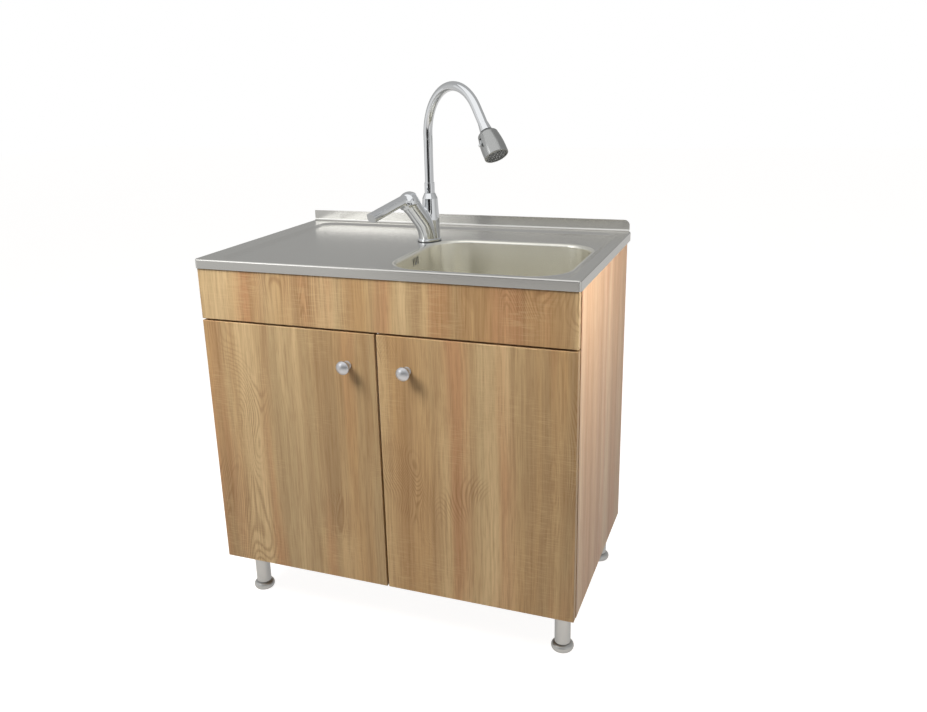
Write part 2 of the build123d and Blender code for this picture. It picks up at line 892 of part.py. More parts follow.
def make_screw_foot(leg, label):
    """A screw foot: a barrel-shaped base with grip notches, and a long stem."""
    place = upright(*leg_place(*leg))
    with BuildPart() as foot:
        with BuildSketch(half_plane(place)) as outline:
            with BuildLine():
                TangentArc((foot_radius, foot_belly), (foot_base, 0), tangent=(0, -1))
                TangentArc((foot_radius, foot_belly), (leg_radius, foot_height), tangent=(0, 1))
                Polyline((leg_radius, foot_height), (0, foot_height), (0, 0), (foot_base, 0))
            make_face()
        revolve(outline.sketch, axis=Axis(place.origin, place.z_dir))
        ring(place, 0, foot_thread, foot_height, foot_height + foot_stem)
        with BuildSketch(place) as notches:
            with PolarLocations(foot_radius, foot_notches):
                Rectangle(foot_notch_length, foot_notch_width)
        extrude(notches.sketch, amount=foot_notch_height, mode=Mode.SUBTRACT)
    write(foot, label)


# ---- Mixer tap ----

def tap_section():
    """The upright plane along the middle of the tap's body, from the top of its gasket."""
    return upright_plane(tap_x, tap_y, deck_top + gasket, -90 - tap_turn)


def spout_section():
    """The upright plane along the spout, through the column's axis."""
    foot = tap_section().from_local_coords((-column_offset, 0, 0))
    return upright_plane(foot.X, foot.Y, foot.Z, -spout_turned)


def tap_foot():
    return upright(tap_x, tap_y, deck_top + gasket)


def column_foot():
    return Plane(origin=spout_section().origin, x_dir=spout_section().x_dir, z_dir=(0, 0, 1))


def barrel_mouth():
    """The plane of the barrel's upper end, facing along its axis."""
    return plane_across(tap_section(), bend_end(barrel_bend, barrel_lean, barrel_straight), barrel_lean)


def cap_centre(tilt=0.0):
    """A plane at the centre of the lever's cap; tilt leans it on towards the lever."""
    spot = bend_end(barrel_bend, barrel_lean, barrel_straight + nut_height)
    return plane_across(tap_section(), spot, barrel_lean + tilt)


def base_outline():
    """Draws the outline of the tap's foot, long enough for the barrel and the column."""
    with Locations((-column_offset / 2, 0)):
        SlotCenterToCenter(column_offset, 2 * tap_foot_radius)


def base_plane(height):
    """A level plane at the tap's foot, its X along the middle of the tap's body."""
    return Plane(origin=(tap_x, tap_y, height), x_dir=tap_section().x_dir, z_dir=(0, 0, 1))


def make_tap_seal():
    """The soft gasket under the tap's foot."""
    with BuildPart() as seal:
        with BuildSketch(base_plane(deck_top)) as outline:
            base_outline()
            Circle(tap_hole, mode=Mode.SUBTRACT)
        extrude(outline.sketch, amount=gasket)
    write(seal, "tap_seal")


def make_tap_body():
    """The one-piece body: a foot, an upright column for the spout and a leaning barrel for the cartridge."""
    section = tap_section()
    with BuildLine(section) as path:
        CenterArc((barrel_bend, 0), barrel_bend, 180, -barrel_lean)
        Line(bend_end(barrel_bend, barrel_lean, 0), bend_end(barrel_bend, barrel_lean, barrel_straight))
    with BuildPart() as body:
        with BuildSketch(base_plane(deck_top + gasket)) as base:
            base_outline()
        extrude(base.sketch, amount=tap_foot_height)
        fillet(body.faces().sort_by(Axis.Z)[-1].edges(), tap_foot_edge)
        with BuildSketch(tap_foot()) as round_section:
            Circle(barrel_radius)
        sweep(round_section.sketch, path=path.line)
        turned(column_foot(), [(0, 0), (column_base_radius, 0), (column_base_radius, column_height - column_taper),
                               (column_radius, column_height), (0, column_height)])
        fillet(body.edges(Select.NEW).filter_by(GeomType.BSPLINE), body_blend)
        ring(barrel_mouth(), 0, cartridge_bore, -cartridge_length, cartridge_step, mode=Mode.SUBTRACT)
        ring(column_foot(), 0, tube_radius + tube_fit, column_height - column_bore_depth, column_height,
             mode=Mode.SUBTRACT)
    write(body, "tap_body")


def make_tap_shank():
    """The threaded shank under the body, with two inlets for the supply hoses."""
    low = -shank_length
    with BuildPart() as shank:
        ring(tap_foot(), 0, shank_radius, low, 0)
        with BuildSketch(Plane(origin=(tap_x, tap_y, deck_top + gasket + low))) as inlets:
            with GridLocations(2 * inlet_spread, 0, 2, 1):
                Circle(inlet_radius)
        extrude(inlets.sketch, amount=inlet_depth, mode=Mode.SUBTRACT)
    write(shank, "tap_shank")


def make_tap_fixings():
    """The washer and the large nut that clamp the tap to the sink."""
    under = upright(tap_x, tap_y, deck_top - sheet)
    with BuildPart() as washer:
        ring(under, shank_radius + thread_fit, washer_radius, -washer_thickness, 0)
    write(washer, "tap_washer")
    with BuildPart() as nut:
        with BuildSketch(Plane.XY.offset(deck_top - sheet - washer_thickness)) as hexagon:
            with Locations((tap_x, tap_y)):
                RegularPolygon(tap_nut_radius, 6)
                Circle(shank_radius + thread_fit, mode=Mode.SUBTRACT)
        extrude(hexagon.sketch, amount=-tap_nut_height)
    write(nut, "tap_nut")


def make_cartridge():
    """The sealed ceramic cartridge, seated in the barrel and standing a step into its nut."""
    with BuildPart() as cartridge:
        ring(barrel_mouth(), 0, cartridge_radius, -cartridge_length, cartridge_step)
    write(cartridge, "cartridge")


def make_cartridge_nut():
    """The cap nut over the cartridge: a short cylinder and a dome with a mouth for the lever's stem."""
    mouth = barrel_mouth()
    with BuildPart() as nut:
        turned(mouth, [(0, 0), (nut_radius - nut_edge, 0), (nut_radius, nut_edge), (nut_radius, nut_height),
                       (0, nut_height)])
        with Locations(cap_centre()):
            Sphere(dome_radius)
        ring(mouth, 0, dome_radius, -dome_radius, 0, mode=Mode.SUBTRACT)
        with Locations(cap_centre()):
            Sphere(dome_radius - dome_wall, mode=Mode.SUBTRACT)
        ring(mouth, 0, cartridge_bore, -dome_radius, cartridge_step, mode=Mode.SUBTRACT)
        ring(cap_centre(), 0, dome_mouth, 0, 2 * dome_radius, mode=Mode.SUBTRACT)
    write(nut, "cartridge_nut")


def make_cartridge_carrier():
    """The turning carrier of the cartridge, with two ears that hold the pin of the stem."""
    centre = cap_centre()
    low = cartridge_step + carrier_gap - nut_height
    ear_inner = stem_side / 2 + stem_fit + carrier_gap
    with BuildPart() as carrier:
        ring(centre, 0, carrier_radius, low, low + carrier_height)
        with BuildSketch(centre.offset(low)) as ears:
            with GridLocations(0, 2 * ear_inner + carrier_ear, 1, 2):
                Rectangle(carrier_ear_width, carrier_ear)
        extrude(ears.sketch, amount=carrier_ear_top - low)
        with BuildSketch(pin_plane()) as pin_hole:
            Circle(stem_pin + stem_fit)
        extrude(pin_hole.sketch, amount=carrier_radius, both=True, mode=Mode.SUBTRACT)
    write(carrier, "cartridge_carrier")


def pin_plane():
    """The upright plane of the tap through the cap's centre, square to the stem's pin."""
    centre = cap_centre()
    return Plane(origin=centre.origin, x_dir=centre.x_dir, z_dir=centre.y_dir)


def stem_bar(fit, reach):
    """The square stem with its pin, or the socket for it, on the tilted axis of the resting lever."""
    centre = cap_centre(lever_lift / 2)
    with BuildPart() as bar:
        with BuildSketch(centre.offset(-stem_tail)):
            Rectangle(stem_side + 2 * fit, stem_side + 2 * fit)
        extrude(amount=stem_tail + reach)
    return bar.part


def make_lever_stem():
    half = stem_side / 2 + stem_fit + carrier_gap + carrier_ear
    with BuildPart() as stem:
        add(stem_bar(0, stem_reach))
        with BuildSketch(pin_plane()) as pin:
            Circle(stem_pin)
        extrude(pin.sketch, amount=half, both=True)
    write(stem, "lever_stem")


def lever_plane(along):
    """A plane across the lever's bar, at a distance along it from above the cap's centre."""
    section = tap_section()
    centre = section.to_local_coords(cap_centre().origin)
    lean = radians(lever_lean)
    spot = (centre.X + along * sin(lean), centre.Y + lever_rise + along * cos(lean))
    return plane_across(section, spot, lever_lean)


def make_lever():
    """The lever: a domed cap over the cartridge that flows into a long rounded bar sloping forward."""
    rim = cap_centre(lever_lift / 2)
    shell = dome_radius + dome_gap
    rim_rise = (shell + cap_wall) * sin(radians(lever_lift / 2)) + dome_gap
    with BuildPart() as lever:
        with BuildSketch(lever_plane(0)):
            RectangleRounded(lever_thickness, lever_width, lever_rounding)
        with BuildSketch(lever_plane(lever_reach)):
            RectangleRounded(lever_tip_thickness, lever_tip_width, lever_rounding)
        loft()
        tip = lever.faces().sort_by(SortBy.DISTANCE)[-1]
        fillet(tip.edges(), lever_tip_rounding)
        with Locations(rim):
            Sphere(shell + cap_wall)
        fillet(lever.edges(Select.NEW), cap_blend)
        ring(rim, 0, 2 * shell, -2 * shell, rim_rise, mode=Mode.SUBTRACT)
        with Locations(rim):
            Sphere(shell, mode=Mode.SUBTRACT)
        add(stem_bar(stem_fit, stem_reach), mode=Mode.SUBTRACT)
    write(lever, "lever")


def make_spout_collar():
    """The conical collar that closes the column's top round the spout."""
    with BuildPart() as collar:
        turned(column_foot(), [(tube_radius + tube_fit, column_height), (column_radius, column_height),
                               (collar_top_radius, column_height + collar_height),
                               (tube_radius + tube_fit, column_height + collar_height)])
    write(collar, "spout_collar")


# ---- Spout and spray head ----

def spout_end():
    """The plane at the end of the spout's tube, facing along its last straight."""
    reach, height = bend_end(spout_bend, spout_turn, spout_drop)
    return plane_across(spout_section(), (reach, spout_rise + height), spout_turn)


def ball_centre():
    return spout_end().offset(ball_drop)


def make_spout_tube():
    """The swivelling gooseneck: a bent tube with a sleeve at its foot, a band and a ferrule at its end."""
    foot = column_height - column_bore_depth + tube_end_gap
    reach, height = bend_end(spout_bend, spout_turn, 0)
    end_reach, end_height = bend_end(spout_bend, spout_turn, spout_drop)
    sleeve = column_height + collar_height + sleeve_gap
    bore = tube_radius - tube_wall
    with BuildLine(spout_section()) as path:
        Line((0, foot), (0, spout_rise))
        CenterArc((spout_bend, spout_rise), spout_bend, 180, -spout_turn)
        Line((reach, spout_rise + height), (end_reach, spout_rise + end_height))
    with BuildPart() as spout:
        with BuildSketch(column_foot().offset(foot)) as section:
            Circle(tube_radius)
            Circle(bore, mode=Mode.SUBTRACT)
        sweep(section.sketch, path=path.line)
        ring(column_foot(), bore, sleeve_radius, sleeve, sleeve + sleeve_height)
        ring(column_foot(), bore, band_radius, band_height - band_width, band_height)
        turned(spout_end(), [(bore, -ferrule_length), (ferrule_top_radius, -ferrule_length), (ferrule_radius, 0),
                             (bore, 0)])
    write(spout, "spout_tube")


def make_spray_ball():
    """The ball that the spray head swivels on, plugged into the end of the spout."""
    with BuildPart() as ball:
        ring(spout_end(), 0, tube_radius - tube_wall, -ball_plug, 0)
        ring(spout_end(), 0, ball_neck, 0, ball_drop)
        with Locations(ball_centre()):
            Sphere(ball_radius)
    write(ball, "spray_ball")


def switch_plane():
    """The plane across the switch's pin, at the side of the spray head: X outward, Y to the mouth, Z along it."""
    centre = ball_centre()
    side = centre.x_dir.rotate(Axis((0, 0, 0), centre.z_dir), switch_angle)
    origin = centre.origin + centre.z_dir * switch_height + side * switch_seat
    return Plane(origin=origin, x_dir=side, z_dir=centre.z_dir.cross(side) * -1)


def make_spray_head():
    """The spray head: a bell round the ball, with a socket, a passage and a wide chamber inside."""
    centre = ball_centre()
    with BuildPart() as head:
        with BuildSketch(half_plane(centre)) as outline:
            with BuildLine():
                shoulder = TangentArc((head_top_radius, -head_top), (head_shoulder_radius, head_shoulder),
                                      tangent=(1, 0))
                TangentArc((head_radius, head_widest), shoulder @ 1, tangent=(0, -1))
                Polyline((head_radius, head_widest), (head_radius, head_length), (0, head_length),
                         (0, -head_top), (head_top_radius, -head_top))
            make_face()
        revolve(outline.sketch, axis=Axis(centre.origin, centre.z_dir))
        fillet(head.faces().sort_by(Axis(centre.origin, centre.z_dir))[-1].edges(), head_edge)
        with Locations(centre):
            Sphere(ball_radius + ball_fit, mode=Mode.SUBTRACT)
        turned(centre, [(0, -head_top), (head_mouth, -head_top), (head_waist, -head_mouth / 2),
                        (0, -head_mouth / 2)], mode=Mode.SUBTRACT)
        turned(centre, [(0, 0), (head_passage, 0), (head_passage, head_chamber_top),
                        (head_chamber, head_chamber_flat), (head_chamber, head_length - face_recess),
                        (0, head_length - face_recess)], mode=Mode.SUBTRACT)
        ring(centre, 0, face_radius, head_length - face_recess - face_thickness, head_length, mode=Mode.SUBTRACT)
        add(switch_pocket(), mode=Mode.SUBTRACT)
    write(head, "spray_head")


def switch_pocket():
    """The space in the head for the switch: the sector that its bar sweeps, and the holes of its pin."""
    width = switch_width + 2 * switch_fit
    with BuildPart() as pocket:
        with BuildSketch(switch_plane().offset(-width / 2)) as sector:
            with BuildLine():
                swing = CenterArc((0, 0), switch_reach, switch_lean, -switch_swing)
                Line((0, 0), swing @ 0)
                Line((0, 0), swing @ 1)
            make_face()
            offset(amount=switch_thickness / 2 + switch_fit)
        extrude(sector.sketch, amount=width)
        half = switch_pin_length / 2 + switch_fit
        ring(switch_plane(), 0, switch_pin + stem_fit, -half, half)
    return pocket.part


def make_spray_face():
    """The nozzle plate, with a ring of soft nozzles."""
    top = head_length - face_recess
    with BuildPart() as face:
        ring(ball_centre(), 0, face_radius, top - face_thickness, top)
        with BuildSketch(ball_centre().offset(top)) as studs:
            with PolarLocations(nozzle_circle, nozzles):
                Circle(nozzle_radius)
        extrude(studs.sketch, amount=nozzle_height)
    write(face, "spray_face")


def make_switch():
    """The small lever that changes the jet: a slim bar on a pin, lying along the head, with a round tip."""
    plane = switch_plane()
    reach = (switch_reach * cos(radians(switch_lean)), switch_reach * sin(radians(switch_lean)))
    with BuildPart() as switch:
        with BuildSketch(plane.offset(-switch_width / 2)) as profile:
            with Locations((reach[0] / 2, reach[1] / 2)):
                SlotCenterToCenter(switch_reach, switch_thickness, rotation=switch_lean)
        extrude(profile.sketch, amount=switch_width)
        ring(plane, 0, switch_pin, -switch_pin_length / 2, switch_pin_length / 2)
        with Locations(plane * Location((*reach, 0))):
            Sphere(switch_tip)
    write(switch, "spray_switch")


# ---- Waste ----

def waste_axis(z):
    return upright(bowl_x, bowl_y, z)


def make_strainer_flange():
    """The pressed steel strainer: a flat rim on the floor of the bowl and a cup below it."""
    rim = waste_axis(bowl_floor + sheet)
    with BuildPart() as flange:
        ring(rim, strainer_cup - strainer_sheet, flange_radius, 0, strainer_sheet)
        ring(rim, strainer_cup - strainer_sheet, strainer_cup, -strainer_depth, 0)
        ring(rim, strainer_mouth, strainer_cup, -strainer_depth, -strainer_depth + strainer_sheet)
    write(flange, "strainer_flange")


def make_strainer_seal():
    with BuildPart() as seal:
        ring(waste_axis(bowl_floor), drain_radius, seal_radius, -seal_thickness, 0)
    write(seal, "strainer_seal")


def waste_top():
    return waste_axis(bowl_floor - seal_thickness)


def make_strainer_body():
    """The plastic waste body: a flange under the seal, a pot, a tail and a side branch for the overflow."""
    branch = branch_plane()
    with BuildPart() as body:
        ring(waste_top(), 0, seal_radius, -waste_flange, 0)
        ring(waste_top(), 0, waste_radius, -waste_depth, 0)
        ring(waste_top(), 0, pipe_radius, -waste_depth - tail_length, -waste_depth)
        ring(branch, 0, hose_radius, 0, waste_radius)
        ring(waste_top(), 0, waste_radius - waste_wall, -waste_depth + waste_wall, 0, mode=Mode.SUBTRACT)
        ring(waste_top(), 0, pipe_radius - pipe_wall, -waste_depth - tail_length, -waste_depth + waste_wall,
             mode=Mode.SUBTRACT)
        ring(branch, 0, hose_radius - hose_wall, 0, waste_radius, mode=Mode.SUBTRACT)
    write(body, "strainer_body")


def branch_plane():
    """Where the overflow pipe meets the waste body, facing the body."""
    height = bowl_floor - seal_thickness - hose_drop
    return Plane(origin=(bowl_x - waste_radius - branch_length, bowl_y, height), x_dir=(0, 1, 0), z_dir=(1, 0, 0))


def make_strainer_plug():
    """The lift-out plug: a perforated dish, a cone in the drain and a knob to lift it by."""
    floor = waste_axis(bowl_floor + sheet - strainer_depth + strainer_sheet)
    with BuildPart() as plug:
        turned(floor, [(0, plug_gap), (plug_cone, plug_gap), (plug_stem, plug_lift), (plug_stem, plug_knob_base),
                       (plug_knob, plug_knob_base), (plug_knob, plug_knob_base + plug_knob_height),
                       (0, plug_knob_base + plug_knob_height)])
        ring(floor, 0, plug_radius, plug_lift, plug_lift + plug_thickness)
        ring(floor, plug_radius - plug_thickness, plug_radius, plug_lift, plug_knob_base)
        with BuildSketch(floor.offset(plug_lift)) as holes:
            with PolarLocations(plug_hole_circle, plug_holes):
                Circle(plug_hole)
        extrude(holes.sketch, amount=plug_thickness, mode=Mode.SUBTRACT)
    write(plug, "strainer_plug")


def hose_x():
    """How far across the overflow pipe drops from its housing."""
    return overflow_wall().offset(overflow_thickness / 2).origin.X


def housing_foot():
    """The plane where the overflow pipe leaves the housing, facing down."""
    return Plane(origin=(hose_x(), bowl_y, deck_top - overflow_depth - overflow_height / 2 - overflow_stub),
                 x_dir=(1, 0, 0), z_dir=(0, 0, -1))


def make_overflow_housing():
    """The box behind the overflow slots, open to them, with a stub for the pipe."""
    wall = overflow_wall()
    drop = housing_foot()
    with BuildPart() as housing:
        with BuildSketch(wall) as outside:
            with Locations((0, -overflow_rise)):
                RectangleRounded(overflow_width, overflow_height, overflow_wall_corner)
        extrude(outside.sketch, amount=overflow_thickness)
        ring(drop, 0, hose_radius, -overflow_height / 2 - overflow_stub, 0)
        with BuildSketch(wall) as inside:
            with Locations((0, -overflow_rise)):
                RectangleRounded(overflow_width - 2 * overflow_skin, overflow_height - 2 * overflow_skin,
                                 overflow_wall_corner - overflow_skin)
        extrude(inside.sketch, amount=overflow_thickness - overflow_skin, mode=Mode.SUBTRACT)
        ring(drop, 0, hose_radius - hose_wall, -overflow_height / 2, 0, mode=Mode.SUBTRACT)
    write(housing, "overflow_housing")


def make_overflow_pipe():
    """The pipe from the overflow down and across to the waste body."""
    start = housing_foot().origin
    finish = branch_plane().origin
    with BuildLine(Plane.XZ.offset(-bowl_y)) as path:
        FilletPolyline((start.X, start.Z), (start.X, finish.Z), (finish.X, finish.Z), radius=hose_bend)
    with BuildPart() as pipe:
        with BuildSketch(housing_foot()) as section:
            Circle(hose_radius)
            Circle(hose_radius - hose_wall, mode=Mode.SUBTRACT)
        sweep(section.sketch, path=path.line)
    write(pipe, "overflow_pipe")


def trap_top():
    """The lower end of the waste body's tail, where the trap's inlet begins."""
    return waste_axis(bowl_floor - seal_thickness - waste_depth - tail_length)


def trap_outlet():
    """The plane where the outlet leaves the trap's head, facing the wall."""
    origin = (bowl_x, bowl_y + trap_radius + trap_spigot, trap_top().origin.Z - trap_inlet - trap_outlet_drop)
    return Plane(origin=origin, x_dir=(1, 0, 0), z_dir=(0, 1, 0))


def make_trap_body():
    """The bottle trap's head, with its inlet, a dip tube and an outlet towards the wall."""
    top = trap_top()
    low = -trap_inlet - trap_head
    outlet = trap_outlet()
    with BuildPart() as trap:
        ring(top, 0, pipe_radius, -trap_inlet, 0)
        ring(top, 0, trap_radius, low, -trap_inlet)
        ring(outlet, 0, pipe_radius, -trap_radius - trap_spigot, 0)
        ring(top, 0, trap_radius - trap_wall, low, -trap_inlet - trap_wall, mode=Mode.SUBTRACT)
        ring(outlet, 0, pipe_radius - pipe_wall, -trap_radius - trap_spigot, 0, mode=Mode.SUBTRACT)
        ring(top, 0, dip_radius, low - dip_length, -trap_inlet)
        ring(top, 0, dip_radius - pipe_wall, low - dip_length, 0, mode=Mode.SUBTRACT)
    write(trap, "trap_body")


def make_trap_cup():
    """The trap's cup, which unscrews for cleaning."""
    low = -trap_inlet - trap_head - trap_cup
    with BuildPart() as cup:
        ring(trap_top(), 0, trap_radius, low, low + trap_wall)
        ring(trap_top(), trap_radius - trap_wall, trap_radius, low, -trap_inlet - trap_head)
        ring(trap_top(), trap_radius, trap_radius + trap_wall, -trap_inlet - trap_head - cup_grip,
             -trap_inlet - trap_head)
    write(cup, "trap_cup")


def make_trap_nuts():
    """The two coupling nuts of the trap, with six flats."""
    with BuildPart() as nuts:
        for plane in (trap_top(), trap_outlet()):
            with BuildSketch(plane.offset(-trap_nut_height / 2)) as flats:
                RegularPolygon(trap_nut_radius, 6)
                Circle(pipe_radius, mode=Mode.SUBTRACT)
            extrude(flats.sketch, amount=trap_nut_height)
    write(nuts, "trap_nuts")


def make_trap_outlet():
    """The outlet pipe, through the back of the cabinet."""
    outlet = trap_outlet()
    length = carcass_back + outlet_past_back - outlet.origin.Y
    with BuildPart() as pipe:
        ring(outlet, pipe_radius - pipe_wall, pipe_radius, 0, length)
        ring(outlet, pipe_radius - pipe_wall, bead_radius, length - spigot_length - bead_width,
             length - spigot_length)
    write(pipe, "trap_outlet")


# ---- The whole unit ----

os.makedirs("parts", exist_ok=True)
make_sink_deck()
make_sink_bowl()
make_bottom_panel()
make_cam_fittings()
make_back_panel()
make_back_rail()
make_fascia()
make_fascia_brackets()
for hand, side in ((-1, "left"), (1, "right")):
    make_side_panel(hand, f"{side}_side_panel")
    make_door(hand, f"{side}_door")
    make_knob(hand, f"{side}_knob")
    make_knob_screw(hand, f"{side}_knob_screw")
    make_door_bumpers(hand, f"{side}_door_bumpers")
    make_hinge_cups(hand, f"{side}_hinge_cups")
    make_hinge_links(hand, f"{side}_hinge_links")
    make_hinge_arms(hand, f"{side}_hinge_arms")
    make_hinge_plates(hand, f"{side}_hinge_plates")
make_hinge_screws()
make_leg_plates()
make_leg_screws()
make_leg_tubes()
for leg, place in zip(leg_spots, ("left_front", "left_rear", "right_front", "right_rear")):
    make_screw_foot(leg, f"{place}_foot")
make_tap_seal()
make_tap_body()
make_tap_shank()
make_tap_fixings()
make_cartridge()
make_cartridge_nut()
make_cartridge_carrier()
make_lever_stem()
make_lever()
make_spout_collar()
make_spout_tube()
make_spray_ball()
make_spray_head()
make_spray_face()
make_switch()
make_strainer_flange()
make_strainer_seal()
make_strainer_body()
make_strainer_plug()
make_overflow_housing()
make_overflow_pipe()
make_trap_body()
make_trap_cup()
make_trap_nuts()
make_trap_outlet()
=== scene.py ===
"""Kitchen sink unit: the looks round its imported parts.

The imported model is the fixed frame. This file gives every part its finish, adds the small pieces that a
fitter puts on last, and sets a plain studio round the unit. Lengths are in metres, and +Z is up.
"""
import logging
from collections.abc import Callable, Sequence
from dataclasses import dataclass, field
from enum import Enum
from functools import partial, reduce
from math import cos, pi, radians, sin

import bmesh
import bpy
from mathutils import Matrix, Vector
from mathutils.bvhtree import BVHTree


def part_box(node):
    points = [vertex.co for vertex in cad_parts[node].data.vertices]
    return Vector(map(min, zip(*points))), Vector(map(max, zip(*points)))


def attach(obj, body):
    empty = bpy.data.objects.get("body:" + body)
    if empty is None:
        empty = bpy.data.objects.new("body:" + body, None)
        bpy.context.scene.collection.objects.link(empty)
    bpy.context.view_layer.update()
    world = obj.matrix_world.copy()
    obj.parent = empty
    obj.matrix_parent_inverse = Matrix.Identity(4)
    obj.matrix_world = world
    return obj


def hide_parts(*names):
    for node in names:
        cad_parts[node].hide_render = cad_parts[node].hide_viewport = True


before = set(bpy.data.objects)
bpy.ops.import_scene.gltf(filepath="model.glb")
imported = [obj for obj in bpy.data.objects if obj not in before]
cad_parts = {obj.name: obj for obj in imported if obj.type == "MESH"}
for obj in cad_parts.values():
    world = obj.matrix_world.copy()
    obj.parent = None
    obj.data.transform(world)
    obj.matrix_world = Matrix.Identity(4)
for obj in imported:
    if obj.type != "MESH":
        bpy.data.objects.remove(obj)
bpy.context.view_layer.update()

Socket = bpy.types.NodeSocket
Loop = list[Vector]
Outline = tuple[tuple[float, float], ...]

log = logging.getLogger("sink_unit")

MM = 0.001
ROUND_STEPS = 48
SHARP_DEGREES = 25.0
MERGE_DISTANCE = 0.001 * MM
LOOK_DISTANCE = 60.0 * MM
RIGHT = Vector((1.0, 0.0, 0.0))
TO_WALL = Vector((0.0, 1.0, 0.0))
UP = Vector((0.0, 0.0, 1.0))
ALMOST_ALONG = 0.9
WHITE, BLACK = (1.0, 1.0, 1.0, 1.0), (0.0, 0.0, 0.0, 1.0)


# ---- Shader graphs ----

@dataclass(frozen=True)
class Colour:
    """A colour by its screen values, each from 0 to 255."""

    red: float
    green: float
    blue: float

    def linear(self) -> tuple[float, float, float, float]:
        """The colour as a shader wants it, with full alpha."""
        return (*(self.channel(value / 255) for value in (self.red, self.green, self.blue)), 1.0)

    @staticmethod
    def channel(value: float) -> float:
        """One screen value, from 0 to 1, as linear light."""
        return value / 12.92 if value <= 0.04045 else ((value + 0.055) / 1.055) ** 2.4


Value = float | Sequence[float] | Socket | Colour
POINT_INPUT = ("Point", "Vector", (0.0, 0.0, 0.0))


class Graph:
    """A node tree under construction."""

    def __init__(self, tree: bpy.types.NodeTree) -> None:
        """Starts on the tree that nodes are added to."""
        self.tree = tree

    def feed(self, socket: Socket, value: Value) -> None:
        """Links a socket, or sets its own value.

        Args:
            socket: The input that is fed.
            value: An output to link, or a number, vector or colour.
        """
        if isinstance(value, Socket):
            self.tree.links.new(value, socket)
        else:
            socket.default_value = value.linear() if isinstance(value, Colour) else value

    def node(self, kind: str, inputs: dict[str | int, Value] | None = None,
             **settings: object) -> bpy.types.Node:
        """Adds a node.

        Args:
            kind: The node's type, without its leading ShaderNode.
            inputs: Values or links by socket name or number.
            settings: The node's own properties.

        Returns:
            The new node.
        """
        node = self.tree.nodes.new("ShaderNode" + kind)
        for name, setting in settings.items():
            setattr(node, name, setting)
        for key, value in (inputs or {}).items():
            self.feed(node.inputs[key], value)
        return node

    def point(self) -> Socket:
        """The place on the part at rest, in metres."""
        return self.node("TexCoord").outputs["Object"]

    def looks(self, axis: str, normal: str = "True Normal") -> Socket:
        """How far a face looks along an axis, from -1 to 1."""
        return self.node("SeparateXYZ", {0: self.node("NewGeometry").outputs[normal]}).outputs[axis]

    def math(self, operation: str, first: Value, second: Value = 0.0, third: Value = 0.0,
             clamp: bool = False) -> Socket:
        """One step of arithmetic on up to three numbers, kept from 0 to 1 where it is clamped."""
        inputs = {0: first, 1: second, 2: third}
        return self.node("Math", inputs, operation=operation, use_clamp=clamp).outputs[0]

    def chain(self, operation: str, *terms: Value, clamp: bool = False) -> Socket:
        """Adds or multiplies the numbers in turn, and keeps the last answer from 0 to 1 if clamped."""
        *start, last = terms
        return self.math(operation, reduce(partial(self.math, operation), start), last, clamp=clamp)

    def vector(self, operation: str, first: Value, second: Value, third: Value = (0.0, 0.0, 0.0)) -> Socket:
        """One step of arithmetic on vectors, as math does on numbers."""
        return self.node("VectorMath", {0: first, 1: second, 2: third}, operation=operation).outputs[0]

    def noise(self, where: Socket, stretch: Sequence[float], detail: float = 2.0,
              distortion: float = 0.0) -> Socket:
        """Soft noise from 0 to 1.

        Args:
            where: The place in metres.
            stretch: How many waves a metre holds along each axis.
            detail: How many finer layers are added.
            distortion: How much the noise is swirled.

        Returns:
            The noise's socket.
        """
        place = self.vector("MULTIPLY", where, stretch)
        inputs = {"Vector": place, "Scale": 1.0, "Detail": detail, "Distortion": distortion}
        return self.node("TexNoise", inputs).outputs["Fac"]

    def span(self, value: Value, low: float, high: float, to_low: float = 0.0,
             to_high: float = 1.0) -> Socket:
        """Maps a number from its range, low to high, onto that of to_low to to_high, and keeps it there."""
        return self.node("MapRange", {0: value, 1: low, 2: high, 3: to_low, 4: to_high}).outputs[0]

    def mix(self, share: Value, first: Value, second: Value) -> Socket:
        """Mixes two colours.

        Args:
            share: How much of the second colour shows.
            first: The colour at 0.
            second: The colour at 1.

        Returns:
            The mixed colour's socket.
        """
        node = self.node("Mix", {0: share}, data_type="RGBA")
        self.feed(node.inputs[6], first)
        self.feed(node.inputs[7], second)
        return node.outputs[2]

    def bump(self, height: Socket, depth: float, strength: float = 1.0,
             normal: Socket | None = None) -> Socket:
        """Turns a height from 0 to 1 into a normal.

        Args:
            height: The height's socket.
            depth: What a height of 1 stands for, in metres.
            strength: How strongly it shows.
            normal: A normal to lay it on.

        Returns:
            The normal's socket.
        """
        inputs: dict[str | int, Value] = {"Height": height, "Distance": depth, "Strength": strength}
        if normal is not None:
            inputs["Normal"] = normal
        return self.node("Bump", inputs).outputs["Normal"]


